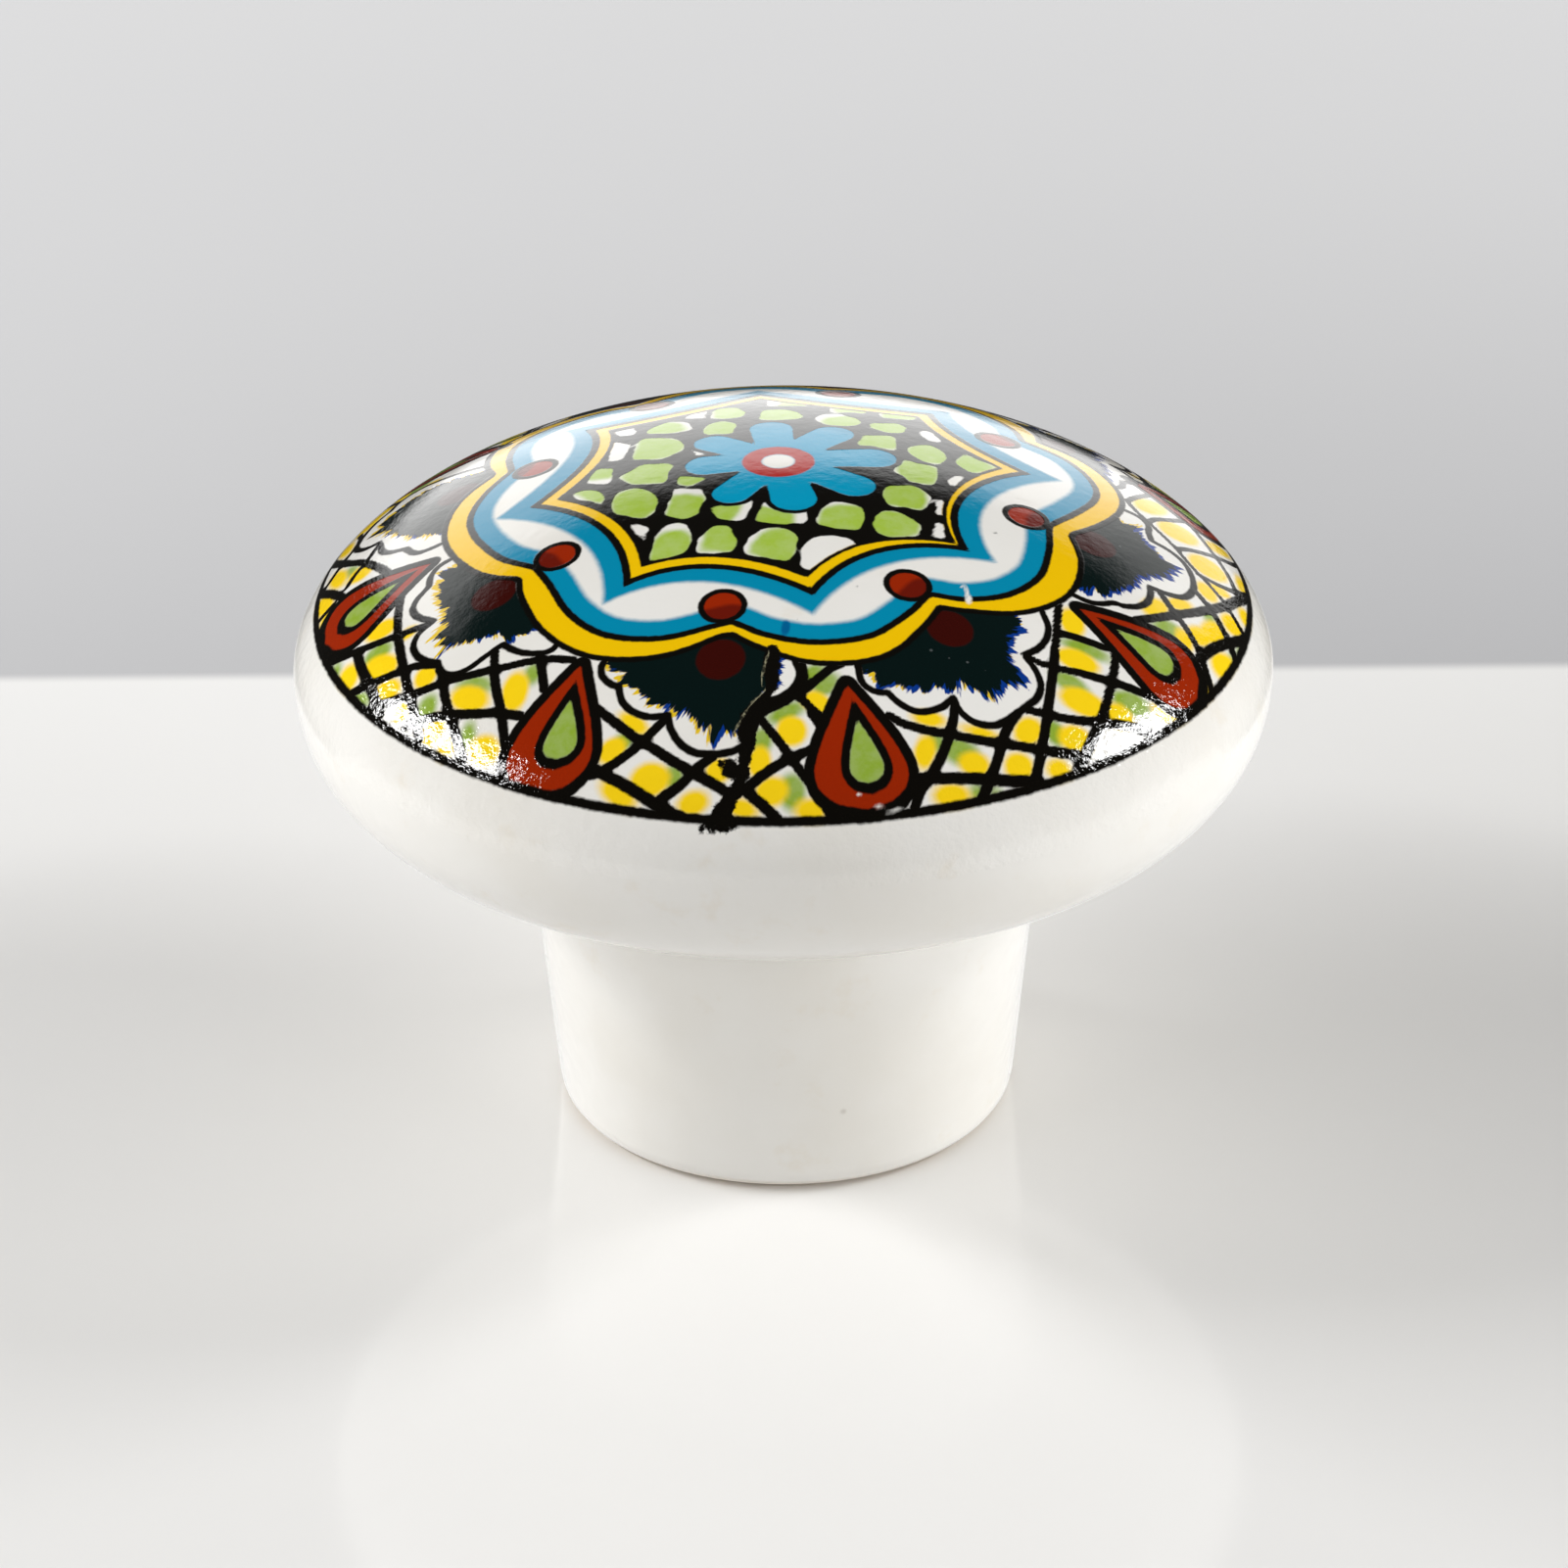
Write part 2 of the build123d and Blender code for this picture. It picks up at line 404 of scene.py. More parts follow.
# Fans: the red dot at the root, petals that each end where the next one starts, and the body's torn edge
FANS = [
    ((-2.4, -12.88, .95), [
        [(-7.0, -12.4), (-6.95, -12.9), (-6.6, -13.35)],
        [(-6.3, -13.5), (-6.25, -13.9), (-6.05, -14.4), (-5.55, -14.85), (-5.0, -15.07)],
        [(-4.4, -15.1), (-4.3, -15.65), (-3.95, -16.25), (-3.4, -16.65), (-2.7, -16.8), (-2.0, -16.77)],
        [(-1.55, -16.6), (-1.1, -15.9)],
        [(-0.75, -14.9), (-0.1, -14.7), (0.42, -14.25), (0.62, -13.7), (0.45, -13.1)],
    ], [
        (-6.77, -12.3), (-6.5, -12.75), (-5.95, -12.8), (-6.35, -13.2), (-5.8, -13.75), (-5.45, -13.93),
        (-5.1, -14.5), (-4.5, -14.87), (-4.27, -14.65), (-4.1, -15.3), (-3.55, -15.1), (-3.05, -15.97),
        (-2.86, -15.73), (-2.75, -16.45), (-2.37, -16.28), (-2.06, -16.0), (-1.6, -16.3), (-1.1, -15.45),
        (-0.5, -14.5), (-0.15, -14.2), (-0.05, -13.4), (0.1, -12.5),
    ]),
    ((6.45, -10.8, .92), [
        [(2.85, -13.2), (3.0, -13.95), (3.45, -14.28)],
        [(4.0, -14.3), (4.3, -14.6), (4.8, -14.87), (5.3, -14.9), (6.0, -14.6)],
        [(6.5, -14.08), (6.7, -14.55), (7.2, -14.87), (7.8, -14.88), (8.4, -14.6)],
        [(9.2, -13.8), (9.75, -13.15), (9.92, -12.5), (9.72, -11.9)],
        [(9.3, -11.35), (9.85, -10.85), (10.22, -10.2), (10.32, -9.5), (10.1, -8.7)],
    ], [
        (2.9, -13.0), (3.2, -13.7), (3.45, -13.45), (3.6, -14.2), (4.3, -14.15), (4.75, -14.0),
        (5.45, -14.1), (6.0, -13.8), (6.65, -13.87), (6.9, -13.35), (7.2, -13.6), (7.45, -13.53),
        (7.7, -13.8), (7.8, -13.53), (8.25, -13.9), (8.35, -13.35), (8.8, -12.9), (9.4, -12.9),
        (9.35, -12.4), (8.9, -11.9), (8.93, -10.8), (9.5, -9.97), (9.2, -9.55), (9.25, -8.8),
    ]),
    ((12.4, -3.05, .93), [
        [(11.3, -7.15), (12.0, -7.3), (12.6, -7.1), (13.05, -6.78)],
        [(13.45, -6.75), (14.0, -6.4), (14.4, -5.9), (14.6, -5.2)],
        [(14.6, -4.7), (15.3, -4.6), (16.0, -4.2), (16.4, -3.4), (16.5, -2.6), (16.3, -1.6), (15.75, -1.05)],
        [(14.9, -0.85), (14.82, -0.2), (14.85, 0.5), (14.5, 1.0), (13.9, 1.1)],
    ], [
        (11.4, -6.6), (12.1, -6.87), (12.35, -6.4), (12.75, -6.67), (13.3, -6.05), (14.05, -5.25),
        (14.45, -4.3), (15.63, -3.3), (15.7, -2.83), (16.2, -2.1), (15.45, -2.18), (14.9, -1.4),
        (14.6, -0.67), (14.76, 0.1), (13.95, -0.3), (13.5, 0.2),
    ]),
    ((-11.35, -6.88, .9), [
        [(-13.2, -3.3), (-13.7, -3.5), (-14.0, -4.0)],
        [(-14.05, -4.7), (-14.5, -5.2), (-14.65, -5.75), (-14.4, -6.4)],
        [(-13.75, -7.1), (-14.3, -7.4), (-14.52, -7.9), (-14.4, -8.5), (-14.0, -9.1)],
        [(-13.5, -9.5), (-13.3, -10.1), (-12.8, -10.5), (-12.2, -10.52), (-11.5, -10.22)],
        [(-10.9, -9.95), (-10.5, -10.4), (-10.0, -10.78), (-9.3, -11.05), (-8.9, -11.0)],
    ], [
        (-12.8, -3.9), (-13.55, -4.0), (-13.53, -4.7), (-13.64, -4.9), (-13.55, -6.2), (-13.27, -6.8),
        (-13.4, -7.37), (-13.18, -7.6), (-13.69, -8.14), (-13.24, -8.45), (-13.42, -8.6), (-13.16, -8.88),
        (-13.52, -9.25), (-12.72, -9.0), (-12.2, -9.27), (-11.6, -9.3), (-11.0, -9.32), (-10.73, -9.95),
        (-10.45, -10.14), (-10.18, -9.8), (-9.5, -9.9),
    ]),
    ((-13.2, 2.7, .9), [
        [(-13.5, -1.7), (-14.2, -1.75), (-14.7, -1.6), (-15.0, -1.15)],
        [(-15.2, -0.7), (-15.7, -0.4), (-16.1, 0.0), (-16.28, 0.5), (-16.35, 1.0)],
        [(-16.45, 1.5), (-16.95, 1.7), (-17.35, 2.2), (-17.5, 2.8)],
        [(-17.4, 3.5), (-17.1, 4.3), (-16.7, 4.9)],
        [(-16.2, 5.3), (-16.0, 5.9), (-15.5, 6.3), (-14.8, 6.4)],
    ], [
        (-13.5, -0.9), (-14.0, -0.75), (-14.25, -0.35), (-14.45, -0.6), (-14.7, -0.1), (-15.05, -0.15),
        (-15.25, 0.55), (-15.55, 0.9), (-15.75, 1.6), (-16.05, 1.75), (-16.1, 2.3), (-16.9, 2.9),
        (-16.4, 3.3), (-16.5, 4.1), (-15.8, 4.6), (-15.2, 5.2), (-14.4, 5.4),
    ]),
]

# Teardrops: tip, base and half width, then the tip and base of the heart
TEARDROPS = [
    ((2.42, -14.1), (3.1, -18.5), 1.8, (2.62, -14.65), (3.3, -18.08)),
    ((-7.8, -12.15), (-9.35, -16.55), 1.7, (-7.95, -12.75), (-8.75, -16.05)),
    ((11.6, -7.9), (16.2, -9.5), 1.65, (12.2, -8.05), (15.6, -9.15)),
    ((-14.05, -3.0), (-18.35, -3.97), 1.85, (-14.55, -3.0), (-17.85, -4.1)),
    ((14.4, 5.6), (18.2, 5.0), 1.75, (15.1, 5.5), (17.8, 5.1)),
]
TEARDROPS_REPEATED = 3  # the first ones, which are repeated half a turn round
TEARDROP_PLACES = [0, .15, .3, .45, .6, .72, .82, .9, .96, 1]
TEARDROP_WIDTHS = [0, .22, .45, .68, .88, 1, .98, .82, .55, 0]

# Loose strokes between the fans and the rim
STROKES = [
    [(-0.85, -15.65), (0.0, -16.72), (0.52, -17.4), (1.28, -18.23), (1.8, -18.85)],
    [(-1.4, -18.0), (-0.6, -17.5), (0.37, -17.03), (1.12, -16.72), (1.42, -16.25), (1.36, -15.85),
     (1.05, -15.4)],
    [(-0.7, -15.15), (0.2, -14.76), (0.68, -14.5), (1.28, -13.93), (1.8, -13.42), (2.25, -13.15)],
    [(-1.0, -15.35), (-0.45, -15.15), (0.15, -14.85)],
    [(0.55, -14.65), (1.12, -15.25), (1.55, -15.6)],
    [(0.72, -13.25), (0.77, -13.9), (0.58, -14.45)],
    [(-1.6, -18.0), (-0.8, -18.55), (-0.2, -18.97)],
    [(4.0, -15.25), (4.6, -15.5), (5.5, -15.6), (6.5, -15.58), (7.5, -15.52), (8.4, -15.4), (9.2, -15.25),
     (10.2, -15.03), (11.3, -14.7)],
    [(5.0, -17.35), (6.0, -17.15), (7.0, -16.92), (8.0, -16.7), (9.0, -16.42), (9.8, -16.15)],
    [(6.55, -14.15), (6.5, -14.8), (6.3, -15.6), (6.0, -16.4), (5.6, -17.1), (5.15, -17.7), (4.9, -18.3)],
    [(8.95, -14.05), (8.6, -14.65), (8.3, -15.45), (8.1, -16.1), (7.75, -16.9), (7.45, -17.5)],
    [(10.82, -7.6), (10.72, -8.8), (10.58, -10.3), (10.42, -11.7), (10.15, -13.5), (9.88, -15.0),
     (9.55, -16.3)],
    [(9.4, -11.4), (10.2, -11.52), (11.5, -11.35), (13.0, -11.08), (14.3, -10.85), (15.5, -10.5),
     (16.1, -10.25)],
    [(9.2, -13.78), (10.2, -13.7), (11.3, -13.45), (12.2, -13.1), (13.2, -12.7), (14.2, -12.3)],
    [(12.95, -9.8), (12.85, -10.6), (12.65, -11.5), (12.35, -12.7), (11.9, -13.8), (11.5, -14.7),
     (11.2, -15.25)],
    [(10.8, -9.65), (11.6, -9.6), (12.6, -9.58)],
    [(13.9, -7.28), (14.8, -6.5), (15.65, -5.65), (16.5, -4.7), (17.2, -3.75), (17.85, -2.7), (18.35, -1.6),
     (18.7, -0.8), (18.95, 0.0)],
    [(16.4, -7.5), (17.0, -6.4), (17.7, -5.3), (18.4, -4.2), (18.92, -3.1)],
    [(15.0, -4.75), (15.45, -5.5), (16.0, -6.25), (16.45, -7.1), (16.6, -7.7), (16.9, -8.7)],
    [(16.6, -3.3), (17.2, -4.0), (17.65, -4.85), (17.95, -5.6), (18.1, -6.3)],
    [(-18.2, -5.4), (-17.3, -6.0), (-16.3, -6.5), (-15.2, -6.87), (-14.0, -7.15)],
    [(-17.2, -8.1), (-16.2, -8.55), (-15.2, -8.88), (-14.3, -9.15), (-13.5, -9.6)],
    [(-16.3, -9.6), (-14.5, -10.38), (-13.0, -10.68), (-11.2, -11.08), (-10.0, -11.25), (-9.0, -11.45),
     (-8.1, -11.8)],
    [(-14.7, -11.5), (-13.5, -11.95), (-12.5, -12.42), (-11.8, -12.75), (-11.0, -13.1), (-10.1, -13.6)],
    [(-16.92, -6.2), (-16.65, -7.4), (-16.3, -8.45), (-15.75, -10.3)],
    [(-15.2, -4.6), (-15.25, -5.6), (-15.2, -6.8), (-15.05, -7.9), (-14.85, -9.0), (-14.65, -10.0),
     (-14.1, -12.4)],
    [(-13.45, -9.6), (-13.25, -10.4), (-13.15, -11.2), (-12.95, -12.1), (-12.35, -14.2)],
    [(-11.2, -10.1), (-11.2, -11.0), (-11.1, -12.0), (-10.9, -13.0), (-10.55, -15.4)],
    [(-9.38, -11.15), (-9.3, -12.0), (-9.2, -12.8)],
    [(-18.7, 4.3), (-18.4, 3.1), (-18.1, 2.3), (-17.7, 1.4), (-17.25, 0.7), (-16.9, 0.1), (-16.5, -0.7),
     (-16.15, -1.4), (-15.9, -2.0)],
    [(-18.95, 1.2), (-18.8, 0.6), (-18.35, -0.35), (-18.0, -1.1), (-17.7, -1.8)],
    [(-18.8, -1.8), (-18.2, -1.6)],
    [(-7.5, -12.9), (-7.3, -13.8), (-7.15, -14.6)],
    [(-7.3, -14.1), (-6.5, -14.93), (-5.6, -15.8), (-5.0, -16.25), (-4.2, -16.85), (-3.3, -17.42),
     (-2.3, -18.0)],
    [(-7.4, -16.6), (-6.9, -16.62), (-6.2, -16.4), (-5.6, -16.1), (-5.0, -15.65), (-4.4, -15.15)],
    [(-7.3, -16.4), (-6.8, -16.78), (-6.0, -17.3), (-5.2, -17.85), (-4.4, -18.35), (-3.7, -18.7)],
    [(-4.9, -18.05), (-3.9, -17.65), (-3.3, -17.2), (-2.65, -16.85)],
]
THIN_STROKES = [
    [(14.05, 2.3), (14.5, 1.4), (15.1, 0.6), (15.9, -0.4), (16.4, -1.2), (16.85, -1.7), (17.5, -2.3),
     (17.95, -2.85), (18.45, -3.7)],
    [(14.1, 2.3), (14.5, 3.2), (14.95, 4.1), (15.3, 4.8)],
    [(14.85, 0.85), (15.2, 1.55), (15.8, 2.3), (16.35, 3.1), (16.8, 3.8)],
    [(16.0, -0.4), (16.5, 0.15), (17.1, 0.7), (17.7, 1.3), (18.2, 1.85), (18.55, 2.4), (18.75, 2.9)],
    [(16.75, -1.7), (17.5, -1.5), (18.2, -1.0), (18.9, -0.1)],
    [(16.75, 3.4), (17.2, 2.4), (17.65, 1.4), (18.1, 0.4), (18.4, -0.8)],
    [(-17.65, -1.0), (-17.3, -0.3), (-16.9, 0.2), (-16.45, 1.2)],
    [(-18.8, 0.75), (-18.45, 1.3), (-18.0, 2.2), (-17.6, 2.9), (-17.4, 3.8), (-17.5, 4.8)],
]

# Dabs of colour between the strokes: middle, half length, half width and turn in degrees
YELLOW_DABS = [
    (1.25, -14.92, .58, .4, -25), (.3, -16.08, .55, .54, 0), (-.93, -17.2, .42, .52, 0),
    (-.5, -18.15, .6, .42, 10), (1.0, -18.68, .55, .3, 0), (-1.6, -18.58, .55, .24, -15),
    (-2.5, -17.38, .45, .4, 0), (-3.45, -18.25, .55, .32, 0), (5.52, -15.12, .6, .3, 0),
    (7.5, -15.22, .66, .2, 0), (5.35, -16.4, .36, .58, -15), (7.25, -16.42, .58, .38, 15),
    (6.35, -17.6, .68, .33, 14), (9.35, -14.62, .64, .42, 45), (8.95, -16.0, .58, .42, 32),
    (10.5, -15.5, .48, .28, 25), (11.3, -8.85, .46, .75, 0), (11.4, -10.78, .82, .5, 3),
    (11.55, -12.6, .9, .52, 8), (12.95, -12.5, .6, .48, 30), (11.2, -14.2, .66, .46, 25),
    (15.0, -11.1, .62, .28, 22), (16.48, -9.0, .24, .65, -20), (17.45, -6.8, .42, .78, -25),
    (17.15, -5.3, .8, .42, 62), (16.5, -6.15, .62, .4, 55), (18.0, -3.8, .4, .62, -15),
    (14.72, -5.95, .72, .42, 58), (15.8, -4.85, .58, .3, 42), (15.85, -6.95, .32, .52, 0),
    (18.72, -2.35, .32, .62, 0), (17.05, -2.7, .4, .55, 0), (17.6, -1.9, .5, .3, 40),
    (17.25, -.45, .95, .68, 55), (16.15, 1.4, 1.0, .72, 55), (15.1, 2.9, 1.05, .55, 62),
    (17.9, 2.7, .8, .35, 60), (18.75, .5, .25, .8, 0), (-5.7, -15.2, .66, .28, -42),
    (-6.55, -16.02, .5, .42, 10), (-5.1, -17.3, .72, .52, -10), (-6.3, -17.45, .75, .32, -35),
    (-10.35, -12.45, .5, .82, 0), (-12.15, -11.95, .88, .44, -40), (-11.5, -14.25, .65, .42, -40),
    (-13.95, -9.9, .42, .52, 15), (-15.52, -9.45, .62, .42, -45), (-15.85, -8.05, .88, .5, -42),
    (-14.8, -7.05, .36, .3, 0), (-15.9, -5.95, .65, .48, -25), (-17.2, -7.3, .38, .68, 15),
    (-18.62, -.8, .38, .95, 12), (-17.1, -.55, .5, .65, 20), (-18.12, .6, .32, 1.0, 12),
    (-18.42, -2.3, .26, .62, 0), (-14.8, -10.85, .36, .36, 0), (-13.55, -12.4, .42, .5, 0),
    (-13.0, -13.4, .35, .35, 0), (-18.0, 3.9, .3, .9, 5),
]
GREEN_DABS = [
    (1.15, -13.65, .55, .36, 35), (1.6, -14.15, .66, .42, 48), (.1, -15.35, .85, .36, 25),
    (.3, -18.15, .52, .56, 0), (-.85, -16.45, .42, .52, -10), (-.35, -14.98, .42, .1, 25),
    (5.78, -15.98, .36, .42, 0), (6.7, -16.12, .78, .48, 5), (7.35, -17.3, .36, .3, 0),
    (8.0, -17.02, .25, .14, 20), (-6.1, -15.8, .4, .36, 0), (-4.22, -17.35, .42, .4, 0),
    (-11.95, -11.48, .85, .42, -32), (-9.68, -11.92, .36, .52, 0), (-12.15, -13.4, .3, .5, 0),
    (-16.0, -7.2, .62, .5, -20), (-17.55, .3, .28, .62, 15), (-17.75, -6.3, .22, .5, 10),
    (-18.3, -4.95, .16, .55, 12), (-16.6, -8.85, .72, .24, -52), (-13.85, -11.4, .42, .6, 0),
    (11.75, -10.05, 1.0, .4, 0), (11.1, -12.0, .78, .46, -12), (13.45, -11.65, .85, .48, 22),
    (10.4, -14.3, .44, .48, 0), (17.0, -4.5, .26, .5, 0), (15.2, -6.85, .68, .48, 30),
    (17.85, -6.05, .18, .5, -15), (18.36, -5.0, .24, .68, -15),
]

# Torn place at the front: a dark seam with its half width at each place, its pale edge, and crumbs of ink
SEAM = [
    (-0.4, -12.6, .3), (-0.45, -13.2, .32), (-0.45, -13.8, .28), (-0.42, -14.3, .22), (-0.75, -14.75, .22),
    (-1.1, -15.2, .3), (-1.3, -15.6, .42), (-1.4, -16.1, .36), (-1.4, -16.6, .32), (-1.5, -17.1, .24),
    (-1.65, -17.55, .2), (-1.8, -18.05, .26), (-2.15, -18.35, .3), (-2.35, -18.7, .42),
]
SEAM_EDGE = [
    (-0.52, -12.55), (-0.64, -13.0), (-0.78, -13.6), (-0.82, -14.1), (-0.72, -14.38), (-0.95, -14.66),
    (-1.25, -14.98), (-1.56, -15.47), (-1.93, -16.15),
]
CRUMBS = [
    (-2.05, -17.35, .34), (-2.4, -17.15, .13), (-1.5, -17.5, .26), (-2.2, -17.98, .12), (-1.9, -18.92, .18),
    (-2.3, -18.95, .18), (-2.75, -18.85, .24), (-3.1, -18.95, .12), (-0.62, -14.5, .12),
]

# Places where the print missed the glaze and a drip in the blue: middle, half length, half width and turn.
# Specks: middle and radius.
MISSES = [
    (7.23, -9.02, .16, .26, 0), (7.17, -8.55, .08, .3, 8), (7.05, -8.33, .12, .06, 20),
    (2.83, -18.12, .08, .06, 0), (3.58, -18.37, .16, .06, 10), (4.15, -18.4, .2, .04, 20),
    (-2.1, -17.8, .09, .05, 30),
]
DRIP = (0.1, -11.45, .17, .44, -6)
SPECKS = [(2.9, -9.08, .08), (8.42, -4.3, .1), (0.55, -10.98, .05), (-4.42, -7.66, .06)]

# Widths of the print's lines and other measures of it, in millimetres where nothing else is said
PRINT_EDGE = 18.97  # middle of the line that ends the print
EDGE_LINE = 0.26
STROKE_LINE = 0.38
THIN_STROKE_LINE = 0.27
STAR_LINE = 0.32
STAR_GOLD = 0.42  # yellow between that line and the star's dark field
STAR_THIN_TIP = 7  # number of the point towards which that yellow thins out
STAR_THIN_REACH = 4.6  # how far from that point the thinning starts
HALO_SPREAD = 0.66  # how much further out the halo bends than the star
RIBBON_LINE = 0.3
RIBBON_BLUE = 1.1  # the blue along the ribbon's outer edge, with its line
SCALLOP_LINE = 0.27
FAN_LINE = 0.3
DROP_LINE = 0.42
HEART_LINE = 0.34
HEART_WIDTH = 1.0
DOT_RADIUS = 0.72
DOT_LINE = 0.25
PETAL_ROOT = 0.7
RING_INNER = 0.68
RING_OUTER = 1.46
CELL_SPREAD = 0.04
GREEN_SPREAD = 0.15
GREEN_OVERRUN = 0.2  # how far the green may leave its cell
FRAY = 1.15  # depth of the fans' torn edge
MISPRINT = (0.2, -0.08)  # how far the fans' yellow printed off their blue
PRINT_LOW = 19.0  # height above the foot that the print stays over
HIDDEN_BEARINGS = (20, 163)  # the far side in degrees, where the print repeats the near side
FAR = 9.0  # largest distance that is stored
STROKE_GAIN = 0.004  # square millimetres that the mesh adds to a stroke's stored distance


# Drawing

def spline(points, count=6):
    """Points along a smooth curve through the given ones."""
    known = np.array(points, float)
    ahead = np.vstack([2 * known[0] - known[1], known, 2 * known[-1] - known[-2]])
    share = np.linspace(0, 1, count, endpoint=False)[:, None]
    runs = []
    for a, b, c, d in zip(ahead, ahead[1:], ahead[2:], ahead[3:]):
        runs.append(b + share * (c - a) / 2 + share ** 2 * (a - 2.5 * b + 2 * c - d / 2)
                    + share ** 3 * (1.5 * b - a / 2 - 1.5 * c + d / 2))
    return np.vstack(runs + [known[-1:]])


def bend(first, middle, last, count=14):
    """Points along a curve from first to last that is pulled towards middle."""
    share = np.linspace(0, 1, count, endpoint=False)[:, None]
    ends = (1 - share) ** 2 * np.array(first) + share ** 2 * np.array(last)
    return ends + 2 * share * (1 - share) * np.array(middle)


def pointed(tips, pulls):
    """Outline with pointed tips, where something pulls each edge between two tips."""
    return np.vstack([bend(a, b, c) for a, b, c in zip(tips, pulls, tips[1:] + tips[:1])])


def to_path(spots, path):
    """Distance from each spot to an open path."""
    least = np.full(len(spots), np.inf)
    for start, end in zip(path[:-1], path[1:]):
        run = end - start
        away = spots - start
        share = np.clip(away @ run / max(run @ run, 1e-12), 0, 1)
        away = away - share[:, None] * run
        least = np.minimum(least, np.einsum("ij,ij->i", away, away))
    return np.sqrt(least)


def to_shape(spots, outline):
    """Signed distance from each spot to a closed outline, negative inside it."""
    closed = np.vstack([outline, outline[:1]])
    inside = np.zeros(len(spots), bool)
    for start, end in zip(closed[:-1], closed[1:]):
        if start[1] == end[1]:
            continue
        spans = (start[1] > spots[:, 1]) != (end[1] > spots[:, 1])
        crossing = start[0] + (spots[:, 1] - start[1]) * (end[0] - start[0]) / (end[1] - start[1])
        inside ^= spans & (spots[:, 0] < crossing)
    return to_path(spots, closed) * np.where(inside, -1.0, 1.0)


def to_cell(spots, corners, softness=0.1):
    """Signed distance to a convex cell with rounded corners."""
    points = np.array(corners, float)
    middle = points.mean(axis=0)
    order = np.argsort(np.arctan2(points[:, 1] - middle[1], points[:, 0] - middle[0]))
    points = points[order]
    total = np.zeros(len(spots))
    for start, end in zip(points, np.roll(points, -1, axis=0)):
        run = (end - start) / np.linalg.norm(end - start)
        side = (spots - start) @ np.array([run[1], -run[0]])
        total += np.exp(np.clip(side / softness, -60, 60))
    return softness * np.log(total)


def to_oval(spots, oval):
    """Rough signed distance to a turned oval."""
    x, y, half_x, half_y, turn = oval
    cos, sin = math.cos(math.radians(turn)), math.sin(math.radians(turn))
    away = spots - (x, y)
    along = (away[:, 0] * cos + away[:, 1] * sin) / half_x
    across = (away[:, 1] * cos - away[:, 0] * sin) / half_y
    return (np.hypot(along, across) - 1) * min(half_x, half_y)


def to_dot(spots, x, y, radius):
    return np.hypot(spots[:, 0] - x, spots[:, 1] - y) - radius


def to_taper(spots, start, end):
    """Signed distance to a round-ended bar, with a half width after each end's place."""
    run = np.array(end[:2]) - start[:2]
    away = spots - start[:2]
    share = np.clip(away @ run / (run @ run), 0, 1)
    gap = np.hypot(away[:, 0] - share * run[0], away[:, 1] - share * run[1])
    return gap - (start[2] + (end[2] - start[2]) * share)


def nearest(distances):
    return np.min(distances, axis=0)


def closed_inside(path, share=0.75):
    """A path that starts and ends at the scallops, closed at a share of its distance from the axis."""
    return np.vstack([path, path[-1:] * share, path[:1] * share])


def hidden_side(points):
    """Whether points lie on the far side."""
    x, y = np.mean(points, axis=0)
    first, last = HIDDEN_BEARINGS
    return first < math.degrees(math.atan2(y, x)) % 360 < last


def turned(points):
    """The same points half a turn round the knob."""
    return [tuple(-value for value in point) for point in points]


def teardrop(tip, base, half_width):
    """Outline of a teardrop from tip to base."""
    tip, base = np.array(tip), np.array(base)
    run = base - tip
    side = np.array([-run[1], run[0]]) / np.linalg.norm(run)
    places = np.linspace(0, 1, 25)
    widths = np.interp(places, TEARDROP_PLACES, TEARDROP_WIDTHS) * half_width
    spine = tip + run * places[:, None]
    return np.vstack([spine + side * widths[:, None], (spine - side * widths[:, None])[::-1]])


def star_shapes(spots):
    """The star, its dark field and its blue halo."""
    points, bends = STAR[0::2], STAR[1::2]
    spread = [np.array(place) * (1 + HALO_SPREAD / math.hypot(*place)) for place in bends]
    star = to_shape(spots, pointed(points, bends))
    away = spots - points[STAR_THIN_TIP]
    thin = np.clip(np.hypot(away[:, 0], away[:, 1] * 0.5) / STAR_THIN_REACH, 0.12, 1)
    return {
        "star": star,
        "field": star + STAR_LINE + STAR_GOLD * thin,
        "halo": to_shape(spots, pointed(STAR_HALO_TIPS, spread)),
    }


def scallop_shapes(spots):
    """Both edges of the scalloped yellow band, and the dots on the ribbon inside it."""
    inner, outer = [], []
    for lobe, following in zip(SCALLOPS, SCALLOPS[1:] + SCALLOPS[:1]):
        curve = spline(lobe + following[:1])
        run = np.gradient(curve[:, :2], axis=0)
        out = np.stack([run[:, 1], -run[:, 0]], axis=1) / np.linalg.norm(run, axis=1)[:, None]
        inner.append(curve[:-1, :2])
        outer.append((curve[:, :2] + out * curve[:, 2:])[1:-1])
    return {
        "inner": to_shape(spots, np.vstack(inner)),
        "outer": to_shape(spots, np.vstack(outer)),
        "dots": nearest([to_dot(spots, x, y, 0.0) for x, y in RIBBON_DOTS]),
    }


def flower_shapes(spots):
    """The flower, the glaze cells round it and the green in them."""
    cells, greens = [], []
    for shift, corners in CELLS:
        cell = to_cell(spots, corners) - CELL_SPREAD
        cells.append(cell)
        if shift is not None:
            greens.append(np.maximum(to_cell(spots - shift, corners) - GREEN_SPREAD, cell - GREEN_OVERRUN))
    root = (*FLOWER_MIDDLE, PETAL_ROOT)
    return {
        "petals": nearest([to_taper(spots, root, petal) for petal in PETALS]),
        "cells": nearest(cells),
        "green": nearest(greens),
    }


